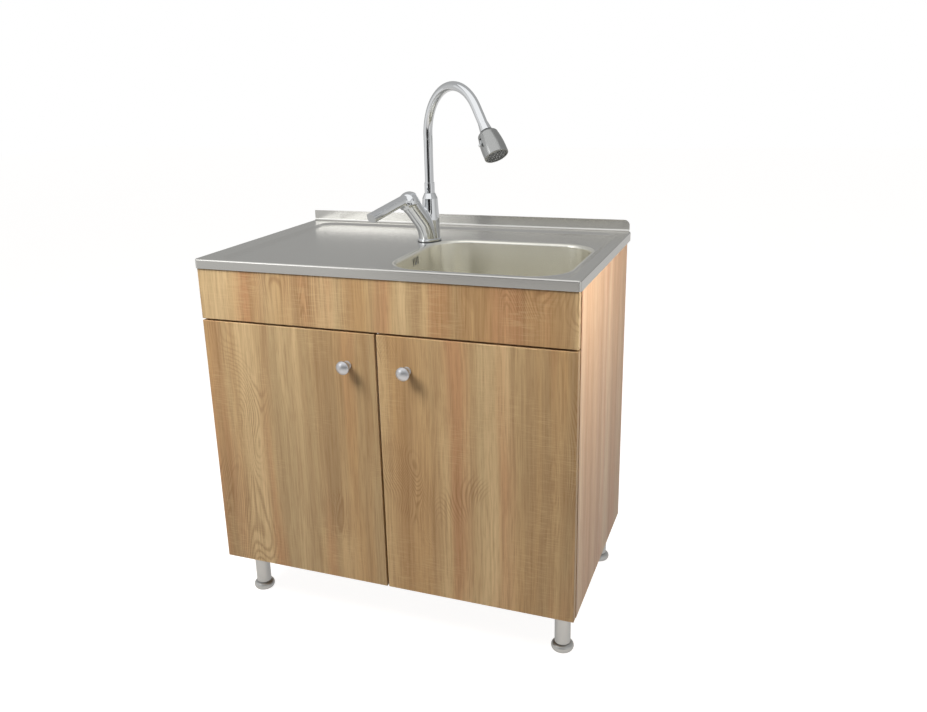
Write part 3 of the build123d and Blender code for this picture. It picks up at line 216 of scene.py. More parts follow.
@dataclass(frozen=True)
class Effect:
    """A surface effect that several finishes share, kept as one node group.

    Attributes:
        title: The group's name.
        inputs: The name, kind and starting value of each input besides Point.
        outputs: The name and kind of each output.
        draw: Adds the nodes inside, from the inputs' sockets to the outputs' sockets.
    """

    title: str
    inputs: tuple[tuple[str, str, Value], ...]
    outputs: tuple[tuple[str, str], ...]
    draw: Callable[[Graph, dict[str, Socket]], dict[str, Socket]]

    def tree(self) -> bpy.types.NodeTree:
        """The node group, built the first time.

        Returns:
            The group's tree.
        """
        found = bpy.data.node_groups.get(self.title)
        if found is not None:
            return found
        tree = bpy.data.node_groups.new(self.title, "ShaderNodeTree")
        inputs = (POINT_INPUT, *self.inputs)
        for name, kind, value in inputs:
            socket = tree.interface.new_socket(name, in_out="INPUT", socket_type="NodeSocket" + kind)
            socket.default_value = value
        for name, kind in self.outputs:
            tree.interface.new_socket(name, in_out="OUTPUT", socket_type="NodeSocket" + kind)
        entry = tree.nodes.new("NodeGroupInput")
        leave = tree.nodes.new("NodeGroupOutput")
        made = self.draw(Graph(tree), {name: entry.outputs[name] for name, _, _ in inputs})
        for name, socket in made.items():
            tree.links.new(socket, leave.inputs[name])
        return tree

    def place(self, graph: Graph, **values: Value) -> dict[str, Socket]:
        """Places the effect in a material.

        Args:
            graph: The material's graph.
            values: The inputs by name.

        Returns:
            The outputs' sockets by name.
        """
        node = graph.tree.nodes.new("ShaderNodeGroup")
        node.node_tree = self.tree()
        for name, value in values.items():
            graph.feed(node.inputs[name], value)
        return {name: node.outputs[name] for name, _ in self.outputs}


@dataclass(frozen=True)
class Grain:
    """A layer of stretched noise that tints the oak print.

    Attributes:
        waves: How many waves a metre holds along each axis.
        low: The noise below which the tint doesn't show.
        high: The noise above which it shows fully.
        share: How much of it shows there.
        tint: Which of the print's colours it is.
        detail: How many finer layers the noise has.
        offset: How far the noise is moved, so that no two layers agree.
    """

    waves: tuple[float, float, float]
    low: float
    high: float
    share: float
    tint: str
    detail: float = 2.0
    offset: tuple[float, float, float] = (0.0, 0.0, 0.0)

    def noise(self, graph: Graph, where: Socket) -> Socket:
        """The layer's noise at a place in metres."""
        return graph.noise(graph.vector("ADD", where, self.offset), self.waves, self.detail)

    def lay(self, graph: Graph, noise: Socket, tone: Socket, given: dict[str, Socket]) -> Socket:
        """Lays the tint on a tone where the noise is high."""
        return graph.mix(graph.span(noise, self.low, self.high, 0.0, self.share), tone, given[self.tint])


BROAD_GRAIN = (
    Grain((11.0, 11.0, 0.35), 0.38, 0.60, 1.0, "Middle"),
    Grain((18.0, 18.0, 0.7), 0.50, 0.70, 0.75, "Grey", offset=(9.1, 3.3, 0.0)),
    Grain((15.0, 15.0, 0.8), 0.50, 0.68, 0.75, "Warm", offset=(4.7, 1.9, 0.0)),
    Grain((46.0, 46.0, 0.9), 0.42, 0.74, 0.40, "Dark", detail=3.0),
)
GRAIN_LINES = Grain((240.0, 240.0, 3.2), 0.46, 0.74, 0.38, "Dark")
FIBRES = Grain((620.0, 620.0, 26.0), 0.48, 0.74, 0.36, "Dark", detail=3.0)
SWAY_WAVES, SWAY_REACH = (2.6, 2.6, 1.5), (0.045, 0.045, 0.10)
RING_COUNT, RING_RAGGED = 380.0, 3.2
ARCH_SHARE, SAW_SHARE = 0.44, 0.26


def draw_oak(graph: Graph, given: dict[str, Socket]) -> dict[str, Socket]:
    """A sawn oak print whose grain runs along Z, glued up from narrow boards.

    Args:
        graph: The group's graph.
        given: Point in metres, the Light, Middle, Dark, Warm and Grey colours, Figure and Saw from 0 to 1.

    Returns:
        Color, Gloss and Height, the last two from 0 to 1.
    """
    point, tone = given["Point"], given["Light"]
    sway = graph.vector("MULTIPLY_ADD", graph.noise(point, SWAY_WAVES), SWAY_REACH, point)
    for layer in BROAD_GRAIN:
        tone = layer.lay(graph, layer.noise(graph, sway), tone, given)
    lines = GRAIN_LINES.noise(graph, sway)
    fibres = FIBRES.noise(graph, point)
    tone = GRAIN_LINES.lay(graph, lines, tone, given)
    tone = FIBRES.lay(graph, fibres, tone, given)
    swirl = graph.noise(sway, (6.5, 6.5, 2.6), 1.0, 0.5)
    ragged = graph.math("MULTIPLY_ADD", swirl, RING_COUNT, graph.math("MULTIPLY", lines, RING_RAGGED))
    rings = graph.span(graph.math("SINE", ragged), -0.2, 1.0)
    knots = graph.span(graph.noise(point, (7.5, 7.5, 4.6), 1.0), 0.575, 0.67)
    arches = graph.chain("MULTIPLY", rings, knots, given["Figure"])
    patches = graph.span(graph.noise(point, (8.0, 8.0, 6.0), 1.0), 0.47, 0.66)
    strokes = graph.span(graph.noise(point, (34.0, 34.0, 430.0), 1.0), 0.50, 0.66)
    saw = graph.chain("MULTIPLY", strokes, patches, given["Saw"])
    tone = graph.mix(graph.math("MULTIPLY", arches, ARCH_SHARE), tone, given["Dark"])
    tone = graph.mix(graph.math("MULTIPLY", saw, SAW_SHARE), tone, given["Light"])
    height = graph.chain("ADD", graph.math("MULTIPLY", fibres, -0.6), graph.math("MULTIPLY", lines, -0.3),
                         graph.math("MULTIPLY", saw, 0.4))
    gloss = graph.math("ADD", graph.math("MULTIPLY", fibres, 0.7), graph.math("MULTIPLY", saw, 0.3))
    return {"Color": tone, "Gloss": gloss, "Height": height}


OAK_PRINT = Effect(
    "oak print",
    (("Light", "Color", WHITE), ("Middle", "Color", WHITE), ("Dark", "Color", BLACK),
     ("Warm", "Color", WHITE), ("Grey", "Color", WHITE), ("Figure", "Float", 1.0), ("Saw", "Float", 1.0)),
    (("Color", "Color"), ("Gloss", "Float"), ("Height", "Float")), draw_oak)


def draw_brushed(graph: Graph, given: dict[str, Socket]) -> dict[str, Socket]:
    """Fine lines along X, as a satin finishing belt leaves them.

    Args:
        graph: The group's graph.
        given: Point in metres, and Spread, how far the roughness swings.

    Returns:
        Roughness around 0 and Height from 0 to 1.
    """
    lines = graph.noise(given["Point"], (14.0, 2600.0, 2600.0), 2.0)
    return {"Roughness": graph.math("MULTIPLY", graph.math("SUBTRACT", lines, 0.5), given["Spread"]),
            "Height": lines}


BRUSHED = Effect(
    "brushed lines",
    (("Spread", "Float", 0.1),),
    (("Roughness", "Float"), ("Height", "Float")), draw_brushed)


def draw_edges(graph: Graph, given: dict[str, Socket]) -> dict[str, Socket]:
    """Where an outer edge is rubbed, broken up by noise.

    Args:
        graph: The group's graph.
        given: Point in metres, Width of the rubbed strip in metres and Amount from 0 to 1.

    Returns:
        Mask from 0 to 1 and the softened Normal.
    """
    bevel = graph.node("Bevel", {"Radius": given["Width"]}, samples=4)
    flat = graph.node("NewGeometry").outputs["Normal"]
    facing = graph.node("VectorMath", {0: bevel.outputs[0], 1: flat}, operation="DOT_PRODUCT")
    edge = graph.span(facing.outputs["Value"], 0.995, 0.93)
    patchy = graph.span(graph.noise(given["Point"], (60.0, 60.0, 60.0), 3.0), 0.35, 0.65)
    mask = graph.chain("MULTIPLY", edge, patchy, given["Amount"])
    return {"Mask": mask, "Normal": bevel.outputs[0]}


WORN_EDGES = Effect(
    "worn edges",
    (("Width", "Float", 1.0 * MM), ("Amount", "Float", 0.5)),
    (("Mask", "Float"), ("Normal", "Vector")), draw_edges)


def draw_handling(graph: Graph, given: dict[str, Socket]) -> dict[str, Socket]:
    """Faint marks of handling: soft smears and a thin film of dust on what faces up.

    Args:
        graph: The group's graph.
        given: Point in metres, Smears and Dust from 0 to 1.

    Returns:
        Smears and Dust as masks.
    """
    smear = graph.span(graph.noise(given["Point"], (38.0, 38.0, 24.0), 4.0, 0.8), 0.42, 0.72)
    lies = graph.span(graph.looks("Z", "Normal"), 0.3, 1.0)
    grains = graph.span(graph.noise(given["Point"], (210.0, 210.0, 210.0), 4.0), 0.35, 0.8)
    dust = graph.chain("MULTIPLY", lies, grains, given["Dust"])
    return {"Smears": graph.math("MULTIPLY", smear, given["Smears"]), "Dust": dust}


HANDLING = Effect(
    "handling",
    (("Smears", "Float", 0.5), ("Dust", "Float", 0.2)),
    (("Smears", "Float"), ("Dust", "Float")), draw_handling)


# ---- Finishes ----

class Finish:
    """A finish of the unit, whose material is built once."""

    title: str

    def paint(self, graph: Graph) -> dict[str, Value]:
        """Adds the finish's nodes and gives what feeds each input of the surface shader."""
        raise NotImplementedError

    def material(self) -> bpy.types.Material:
        """The finish's material, built the first time.

        Returns:
            The material.
        """
        found = bpy.data.materials.get(self.title)
        if found is not None:
            return found
        made = bpy.data.materials.new(self.title)
        made.use_nodes = True
        made.node_tree.nodes.clear()
        graph = Graph(made.node_tree)
        shader = graph.node("BsdfPrincipled", self.paint(graph))
        leave = graph.node("OutputMaterial")
        graph.feed(leave.inputs["Surface"], shader.outputs[0])
        return made


@dataclass(frozen=True)
class OakBoard(Finish):
    """Melamine board with a sawn oak print.

    Attributes:
        title: The material's name.
        light: The pale wood between the bands.
        middle: The common tone.
        dark: The grain lines.
        warm: The reddish boards.
        grey: The greyish boards.
        shift: Where in the print this board was cut, in metres.
        figure: How strongly the arched figure shows.
        saw: How strongly the saw marks show.
        lengthwise: Whether the grain runs along X and not up.
        raw_back: Whether the edge to the wall is bare chipboard.
    """

    title: str
    light: Colour = Colour(213, 186, 142)
    middle: Colour = Colour(190, 155, 110)
    dark: Colour = Colour(132, 94, 60)
    warm: Colour = Colour(194, 145, 105)
    grey: Colour = Colour(176, 152, 114)
    shift: tuple[float, float, float] = (0.0, 0.0, 0.0)
    figure: float = 1.0
    saw: float = 1.0
    lengthwise: bool = False
    raw_back: bool = False

    def paint(self, graph: Graph) -> dict[str, Value]:
        """Print, saw marks, rubbed edges and, where it shows, the bare core.

        Args:
            graph: The material's graph.

        Returns:
            What feeds each input of the surface shader.
        """
        point = graph.point()
        if self.lengthwise:
            parts = graph.node("SeparateXYZ", {0: point})
            axes = {"X": parts.outputs["Z"], "Y": parts.outputs["Y"], "Z": parts.outputs["X"]}
            point = graph.node("CombineXYZ", axes).outputs[0]
        place = graph.vector("ADD", point, self.shift)
        oak = OAK_PRINT.place(graph, Point=place, Light=self.light, Middle=self.middle, Dark=self.dark,
                              Warm=self.warm, Grey=self.grey, Figure=self.figure, Saw=self.saw)
        edges = WORN_EDGES.place(graph, Point=point, Width=0.4 * MM, Amount=0.35)
        colour = graph.mix(edges["Mask"], oak["Color"], self.light)
        if self.raw_back:
            colour = graph.mix(self.core_mask(graph), colour, self.core(graph))
        return {"Base Color": colour, "Roughness": graph.span(oak["Gloss"], 0.2, 0.8, 0.38, 0.56),
                "Normal": graph.bump(oak["Height"], 0.12 * MM, 0.55, edges["Normal"]),
                "Specular IOR Level": 0.35}

    def core_mask(self, graph: Graph) -> Socket:
        """Where the face looks to the wall."""
        return graph.span(graph.looks("Y"), 0.7, 0.9)

    def core(self, graph: Graph) -> Socket:
        """The pressed chips of the board's core.

        Args:
            graph: The material's graph.

        Returns:
            The core's colour.
        """
        chips = graph.node("TexVoronoi", {"Vector": graph.point(), "Scale": 420.0})
        tone = graph.node("SeparateColor", {0: chips.outputs["Color"]}).outputs[0]
        return graph.mix(tone, Colour(196, 166, 122), Colour(152, 118, 78))


@dataclass(frozen=True)
class SatinSteel(Finish):
    """Pressed stainless sheet with a satin finish.

    Attributes:
        title: The material's name.
        colour: The metal's own colour.
        roughness: Its middle roughness.
        lines: How deep the brushed lines are, in metres.
    """

    title: str
    colour: Colour = Colour(206, 205, 201)
    roughness: float = 0.22
    lines: float = 0.0002 * MM

    def paint(self, graph: Graph) -> dict[str, Value]:
        """Brushed lines, smears that dull the shine, and a little dust.

        Args:
            graph: The material's graph.

        Returns:
            What feeds each input of the surface shader.
        """
        point = graph.point()
        brushed = BRUSHED.place(graph, Point=point, Spread=0.02)
        marks = HANDLING.place(graph, Point=point, Smears=0.008, Dust=0.004)
        rough = graph.chain("ADD", brushed["Roughness"], marks["Smears"], self.roughness, clamp=True)
        colour = graph.mix(marks["Dust"], self.colour, Colour(186, 184, 178))
        return {"Base Color": colour, "Metallic": 1.0, "Roughness": rough,
                "Normal": graph.bump(brushed["Height"], self.lines, 0.6)}


@dataclass(frozen=True)
class TurnedMetal(Finish):
    """Plain metal: plated, turned, cast or bent.

    Attributes:
        title: The material's name.
        colour: The metal's own colour.
        roughness: Its middle roughness.
        smears: How much handling dulls it.
        grain: The height of its fine grain, in metres.
        worn: The colour that shows where edges are rubbed.
    """

    title: str
    colour: Colour
    roughness: float = 0.3
    smears: float = 0.08
    grain: float = 0.01 * MM
    worn: Colour = Colour(225, 225, 222)

    def paint(self, graph: Graph) -> dict[str, Value]:
        """Fine grain, smears and bright rubbed edges.

        Args:
            graph: The material's graph.

        Returns:
            What feeds each input of the surface shader.
        """
        point = graph.point()
        marks = HANDLING.place(graph, Point=point, Smears=self.smears, Dust=0.06)
        edges = WORN_EDGES.place(graph, Point=point, Width=0.4 * MM, Amount=0.6)
        fine = graph.noise(point, (900.0, 900.0, 900.0), 3.0)
        rough = graph.chain("ADD", marks["Smears"], marks["Dust"], self.roughness, clamp=True)
        colour = graph.mix(edges["Mask"], self.colour, self.worn)
        return {"Base Color": colour, "Metallic": 1.0, "Roughness": rough,
                "Normal": graph.bump(fine, self.grain, 0.5, edges["Normal"])}


@dataclass(frozen=True)
class Moulded(Finish):
    """Moulded plastic or rubber.

    Attributes:
        title: The material's name.
        colour: Its colour.
        roughness: Its middle roughness.
        texture: The height of its moulded texture, in metres.
        rubbed: The colour of its rubbed edges.
        clear: How much light passes through it.
    """

    title: str
    colour: Colour
    roughness: float = 0.45
    texture: float = 0.02 * MM
    rubbed: Colour = Colour(240, 240, 236)
    clear: float = 0.0

    def paint(self, graph: Graph) -> dict[str, Value]:
        """Mould texture, handling marks, dust and rubbed edges.

        Args:
            graph: The material's graph.

        Returns:
            What feeds each input of the surface shader.
        """
        point = graph.point()
        marks = HANDLING.place(graph, Point=point, Smears=0.12, Dust=0.18)
        edges = WORN_EDGES.place(graph, Point=point, Width=0.5 * MM, Amount=0.4)
        skin = graph.noise(point, (1300.0, 1300.0, 1300.0), 2.0)
        colour = graph.mix(marks["Dust"], self.colour, Colour(176, 172, 164))
        colour = graph.mix(edges["Mask"], colour, self.rubbed)
        rough = graph.chain("ADD", marks["Smears"], marks["Dust"], self.roughness, clamp=True)
        return {"Base Color": colour, "Roughness": rough, "Transmission Weight": self.clear,
                "Normal": graph.bump(skin, self.texture, 0.5, edges["Normal"])}


@dataclass(frozen=True)
class BackBoard(Finish):
    """Thin fibreboard: lacquered inside, bare brown fibre towards the wall."""

    title: str = "thin back board"

    def paint(self, graph: Graph) -> dict[str, Value]:
        """Matted fibres on the bare side, a faint stipple on the lacquer.

        Args:
            graph: The material's graph.

        Returns:
            What feeds each input of the surface shader.
        """
        point = graph.point()
        outside = graph.span(graph.looks("Y"), -0.6, -0.4)
        fibre = graph.noise(point, (170.0, 170.0, 170.0), 6.0, 1.2)
        marks = HANDLING.place(graph, Point=point, Smears=0.2, Dust=0.1)
        bare = graph.mix(graph.span(fibre, 0.3, 0.7), Colour(148, 112, 74), Colour(184, 150, 106))
        lacquer = graph.mix(marks["Smears"], Colour(236, 233, 226), Colour(222, 217, 207))
        rough = graph.span(outside, 0.0, 1.0, 0.42, 0.8)
        return {"Base Color": graph.mix(outside, lacquer, bare), "Roughness": rough,
                "Normal": graph.bump(fibre, 0.08 * MM, 0.5)}


class Finishes:
    """The finishes of this unit by their own names."""

    left_front = OakBoard("oak front left", shift=(0.13, 0.0, 0.07))
    right_front = OakBoard("oak front right", shift=(0.71, 0.2, 0.41))
    fascia = OakBoard("oak fascia", shift=(1.93, 0.4, 1.31))
    # Painted light: the sides carry the same oak print as the fronts, painted lighter and with less figure,
    # for the lamp light that falls on them.
    side = OakBoard("oak side painted light", light=Colour(228, 201, 167), middle=Colour(212, 173, 134),
                    dark=Colour(164, 106, 70), warm=Colour(214, 150, 110), grey=Colour(214, 183, 146),
                    shift=(3.1, 0.9, 2.2), figure=0.15, saw=0.3, raw_back=True)
    inside = OakBoard("oak inside", light=Colour(214, 190, 154), middle=Colour(198, 170, 133),
                      shift=(0.4, 5.3, 1.7), figure=0.5, saw=0.6, lengthwise=True)
    back_board = BackBoard()
    deck = SatinSteel("satin pressed steel")
    # Painted light: the bowl is the deck's steel painted lighter and warmer, for the bright light on its
    # walls.
    bowl = SatinSteel("drawn steel painted lighter", colour=Colour(240, 238, 229), roughness=0.25)
    strainer = SatinSteel("bright pressed steel", colour=Colour(214, 214, 212), roughness=0.18)
    chrome = TurnedMetal("polished chrome plate", Colour(222, 224, 226), roughness=0.045, smears=0.05,
                         grain=0.001 * MM, worn=Colour(232, 233, 234))
    plated = TurnedMetal("satin plated plastic", Colour(166, 167, 166), roughness=0.22, smears=0.04)
    knob = TurnedMetal("satin turned aluminium", Colour(196, 197, 200), roughness=0.34)
    leg = TurnedMetal("satin leg aluminium", Colour(190, 190, 188), roughness=0.38)
    zinc = TurnedMetal("zinc plated steel", Colour(176, 178, 180), roughness=0.33, smears=0.15)
    nickel = TurnedMetal("nickel plated steel", Colour(190, 188, 183), roughness=0.24, smears=0.1)
    brass = TurnedMetal("machined brass", Colour(206, 168, 96), roughness=0.28, worn=Colour(226, 194, 128))
    white = Moulded("white moulded plastic", Colour(231, 231, 226), roughness=0.38)
    grey = Moulded("grey nozzle rubber", Colour(104, 106, 106), roughness=0.22, rubbed=Colour(132, 133, 134))
    # Painted shade: the overflow housing is white plastic, painted dark here for the shade inside it that
    # shows through the slots.
    dark = Moulded("painted shade plastic", Colour(58, 58, 57), roughness=0.45, rubbed=Colour(88, 88, 87))
    nozzle = Moulded("soft nozzle rubber", Colour(132, 134, 136), roughness=0.35,
                     rubbed=Colour(150, 151, 152))
    black = Moulded("black rubber", Colour(30, 30, 31), roughness=0.62, rubbed=Colour(62, 62, 62))
    clear = Moulded("clear soft dots", Colour(226, 228, 226), roughness=0.2, clear=0.6)


# ---- Meshes ----

@dataclass(frozen=True)
class Place:
    """A plane in the frame that a small piece is built on.

    Attributes:
        spot: Its origin.
        out: The way its Z looks.
    """

    spot: Vector
    out: Vector

    def matrix(self) -> Matrix:
        """The plane as a matrix.

        Returns:
            The matrix that brings local points into the frame.
        """
        up = self.out.normalized()
        along = TO_WALL if abs(up.x) > ALMOST_ALONG else RIGHT
        level = (along - up * along.dot(up)).normalized()
        return Matrix.Translation(self.spot) @ Matrix((level, up.cross(level), up)).transposed().to_4x4()


def circle(radius: float, height: float, count: int = ROUND_STEPS) -> Loop:
    """A level circle of points.

    Args:
        radius: Its radius.
        height: Its height.
        count: How many points it has.

    Returns:
        The points in order.
    """
    turns = [2 * pi * step / count for step in range(count)]
    return [Vector((radius * cos(turn), radius * sin(turn), height)) for turn in turns]


def cross(reach: float, half: float, height: float) -> Loop:
    """The outline of a screwdriver's cross, with as many points as a circle.

    Args:
        reach: From the middle to the end of an arm.
        half: Half the width of an arm.
        height: The outline's height.

    Returns:
        The points in order.
    """
    corners: Loop = []
    for quarter in range(4):
        turn = Matrix.Rotation(quarter * pi / 2, 3, "Z")
        corners += [turn @ Vector(spot) for spot in ((reach, -half, height), (reach, half, height),
                                                     (half, half, height))]
    share = ROUND_STEPS // len(corners)
    steps = [(corners[index], corners[(index + 1) % len(corners)], step / share)
             for index in range(len(corners)) for step in range(share)]
    return [start.lerp(end, part) for start, end, part in steps]


# The rib's outline, as shares of how far it stands out and of half its width.
RIB_SECTION = ((-1.0, -1.0), (0.6, -0.7), (1.0, 0.0), (0.6, 0.7), (-1.0, 1.0))
RIB_HALF_SHARE = 0.28


class Builder:
    """Collects the faces of one new piece and hands it over as an object."""

    def __init__(self) -> None:
        """Starts an empty mesh."""
        self.mesh = bmesh.new()

    def skin(self, loops: Sequence[Loop], matrix: Matrix) -> None:
        """Joins loops of equally many points into a skin and fills the first and the last.

        Args:
            loops: The loops in order, each counter-clockwise as seen from its far side.
            matrix: Brings the points into the frame.
        """
        rows = [[self.mesh.verts.new(matrix @ point) for point in loop] for loop in loops]
        count = len(rows[0])
        for low, high in zip(rows, rows[1:]):
            for index in range(count):
                after = (index + 1) % count
                self.mesh.faces.new((low[index], low[after], high[after], high[index]))
        self.mesh.faces.new(list(reversed(rows[0])))
        self.mesh.faces.new(rows[-1])

    def turned(self, outline: Outline, radius: float, rise: float, matrix: Matrix, count: int) -> None:
        """Turns an outline, given from its foot up in shares of the radius and the rise, about Z."""
        self.skin([circle(wide * radius, tall * rise, count) for wide, tall in outline], matrix)

    def ribs(self, matrix: Matrix, radius: float, reach: float, count: int, proud: float) -> None:
        """Rounded ribs round a turned part.

        Args:
            matrix: Brings the points into the frame, from the part's middle.
            radius: The radius that the ribs stand on.
            reach: How far they go each way from the middle.
            count: How many there are.
            proud: How far they stand out.
        """
        half = RIB_HALF_SHARE * 2 * pi * radius / count
        section = [(radius + out * proud, side * half) for out, side in RIB_SECTION]
        loops = [[Vector((x, y, height)) for x, y in section] for height in (-reach, reach)]
        for index in range(count):
            self.skin(loops, matrix @ Matrix.Rotation(2 * pi * index / count, 4, "Z"))

    def sheet(self, corners: Sequence[Vector]) -> None:
        """One flat face between its corners, given in order."""
        self.mesh.faces.new([self.mesh.verts.new(corner) for corner in corners])

    def finish(self, name: str, finish: Finish) -> bpy.types.Object:
        """Makes the object, with sharp edges where its faces meet at a clear angle.

        Args:
            name: The piece's name.
            finish: Its finish.

        Returns:
            The new object, standing in the frame.
        """
        bmesh.ops.recalc_face_normals(self.mesh, faces=self.mesh.faces)
        limit = radians(SHARP_DEGREES)
        for edge in self.mesh.edges:
            edge.smooth = len(edge.link_faces) == 2 and edge.calc_face_angle(0.0) < limit
        for face in self.mesh.faces:
            face.smooth = True
        data = bpy.data.meshes.new(name)
        self.mesh.to_mesh(data)
        self.mesh.free()
        data.materials.append(finish.material())
        made = bpy.data.objects.new(name, data)
        bpy.context.scene.collection.objects.link(made)
        return made

    def fit(self, name: str, finish: Finish, body: str = "root", stands_for: str = "") -> None:
        """Makes the object and fits it to the unit.

        Args:
            name: The piece's name.
            finish: Its finish.
            body: The body that it rides on.
            stands_for: The node that it takes the place of, if any.
        """
        piece = self.finish(name, finish)
        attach(piece, body)
        if stands_for:
            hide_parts(stands_for)
        log.info("fitted %s on %s", name, body)


@dataclass(frozen=True)
class Screw:
    """A cross-head screw.

    Attributes:
        head: The radius of its head.
        rise: The height of its head.
        length: Its length below the head, or 0 where only the head shows.
    """

    head: float
    rise: float
    length: float = 0.0

    # Shares of the head's radius and rise, and of the shank's radius for its point.
    DOME = ((1.0, 0.0), (1.0, 0.35), (0.9, 0.72), (0.68, 1.0))
    POINT = ((0.2, 0.0), (0.85, 1.6), (1.0, 2.2))
    ARM_REACH, ARM_HALF, CROSS_FLOOR = 0.52, 0.13, 0.35

    @classmethod
    def fill(cls, builder: Builder, low: Vector, high: Vector, out: Vector, rise: float) -> None:
        """Adds a screw that fills a box, with a shank half as thick as the head.

        Args:
            builder: The piece's mesh.
            low: The box's lowest corner.
            high: Its highest corner.
            out: The way along an axis that the head faces.
            rise: The height of the head.
        """
        size = high - low
        long = abs(size.dot(out))
        across = size.z if out.x else size.x
        seat = Place((low + high) / 2 + out * (long / 2 - rise), out)
        cls(across / 2, rise, long - rise).drive(builder, seat)

    def drive(self, builder: Builder, seat: Place) -> None:
        """Adds the screw to a piece.

        Args:
            builder: The piece's mesh.
            seat: Where the head lies, looking the way that the head faces.
        """
        shank, reach, half = self.head / 2, self.ARM_REACH * self.head, self.ARM_HALF * self.head
        loops = []
        if self.length:
            loops += [circle(wide * shank, tall * shank - self.length) for wide, tall in self.POINT]
            loops.append(circle(shank, 0.0))
        loops += [circle(wide * self.head, tall * self.rise) for wide, tall in self.DOME]
        loops += [cross(reach, half, self.rise), cross(reach, half, self.CROSS_FLOOR * self.rise)]
        builder.skin(loops, seat.matrix())


def solids_of(node: str) -> list[tuple[Vector, Vector]]:
    """The boxes of a part's separate solids.

    Args:
        node: The part's name.

    Returns:
        The lowest and highest corner of each, in order along X, Y and Z.
    """
    mesh = bmesh.new()
    mesh.from_mesh(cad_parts[node].data)
    bmesh.ops.remove_doubles(mesh, verts=mesh.verts, dist=MERGE_DISTANCE)
    left = set(mesh.verts)
    boxes = []
    while left:
        heap = [left.pop()]
        spots = []
        while heap:
            corner = heap.pop()
            spots.append(corner.co.copy())
            beside = {edge.other_vert(corner) for edge in corner.link_edges} & left
            left -= beside
            heap += beside
        boxes.append(tuple(Vector([pick(spot[axis] for spot in spots) for axis in range(3)])
                           for pick in (min, max)))
    mesh.free()
    return sorted(boxes, key=lambda box: tuple(round(value, 4) for value in box[0]))


def touch(node: str, start: Vector, way: Vector) -> Vector:
    """Where a straight look meets a part.

    Args:
        node: The part's name.
        start: Where the look starts.
        way: The way that it goes.

    Returns:
        The first point on the part, or the start if there is none.
    """
    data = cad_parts[node].data
    corners, faces = [corner.co for corner in data.vertices], [face.vertices for face in data.polygons]
    tree = BVHTree.FromPolygons(corners, faces)
    return tree.ray_cast(start, way)[0] or start


def dress(finish: Finish, *nodes: str) -> None:
    """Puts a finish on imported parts.

    Args:
        finish: The finish.
        nodes: The parts' names.
    """
    for node in nodes:
        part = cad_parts[node]
        for seat in part.material_slots:
            seat.material = finish.material()
        log.info("dressed %s in %s", node, finish.title)


def middle_of(node: str) -> Vector:
    """The middle of a part's box.

    Args:
        node: The part's name.

    Returns:
        The middle of its box.
    """
    low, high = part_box(node)
    return (low + high) / 2


# ---- Studio ----

@dataclass
class SoftLight:
    """A square soft light. The metal mirrors the cards and not the lights.

    Attributes:
        name: Its name.
        spot: Where it hangs.
        aim: The point that it looks at.
        side: The length of its sides.
        power: Its power in watts.
        colour: The colour of its light.
    """

    name: str
    spot: tuple[float, float, float]
    aim: tuple[float, float, float]
    side: float
    power: float
    colour: tuple[float, float, float] = (1.0, 1.0, 1.0)

    def hang(self) -> None:
        """Puts the light in the scene."""
        data = bpy.data.lights.new(self.name, "AREA")
        data.shape = "SQUARE"
        data.size = self.side
        data.energy = self.power
        data.color = self.colour
        light = bpy.data.objects.new(self.name, data)
        light.location = self.spot
        light.visible_glossy = False
        away = Vector(self.spot) - Vector(self.aim)
        light.rotation_mode = "QUATERNION"
        light.rotation_quaternion = away.to_track_quat("Z", "Y")
        bpy.context.scene.collection.objects.link(light)


@dataclass
class Card:
    """A card that hangs out of view, for the metal to mirror.

    Attributes:
        name: Its name.
        stand: Where it hangs, as seen from above.
        width: How wide it is.
        low: The height of its lower edge.
        high: The height of its upper edge.
        tone: How bright it is, where 1 is white.
        lean: How far the upper edge leans in over the unit.
    """

    name: str
    stand: tuple[float, float]
    width: float
    low: float
    high: float
    tone: float
    lean: float = 0.0

    def put_up(self) -> None:
        """Hangs the card facing the unit, where only the metal shows it."""
        foot = Vector((*self.stand, self.low))
        side = Vector((-foot.y, foot.x, 0.0)).normalized() * self.width / 2
        inward = Vector((-foot.x, -foot.y, 0.0)).normalized() * self.lean
        rise = inward + UP * (self.high - self.low)
        builder = Builder()
        builder.sheet((foot - side, foot + side, foot + side + rise, foot - side + rise))
        card = builder.finish(self.name, CardPaint(f"{self.name} paint", self.tone))
        card.visible_camera = card.visible_diffuse = card.visible_shadow = False


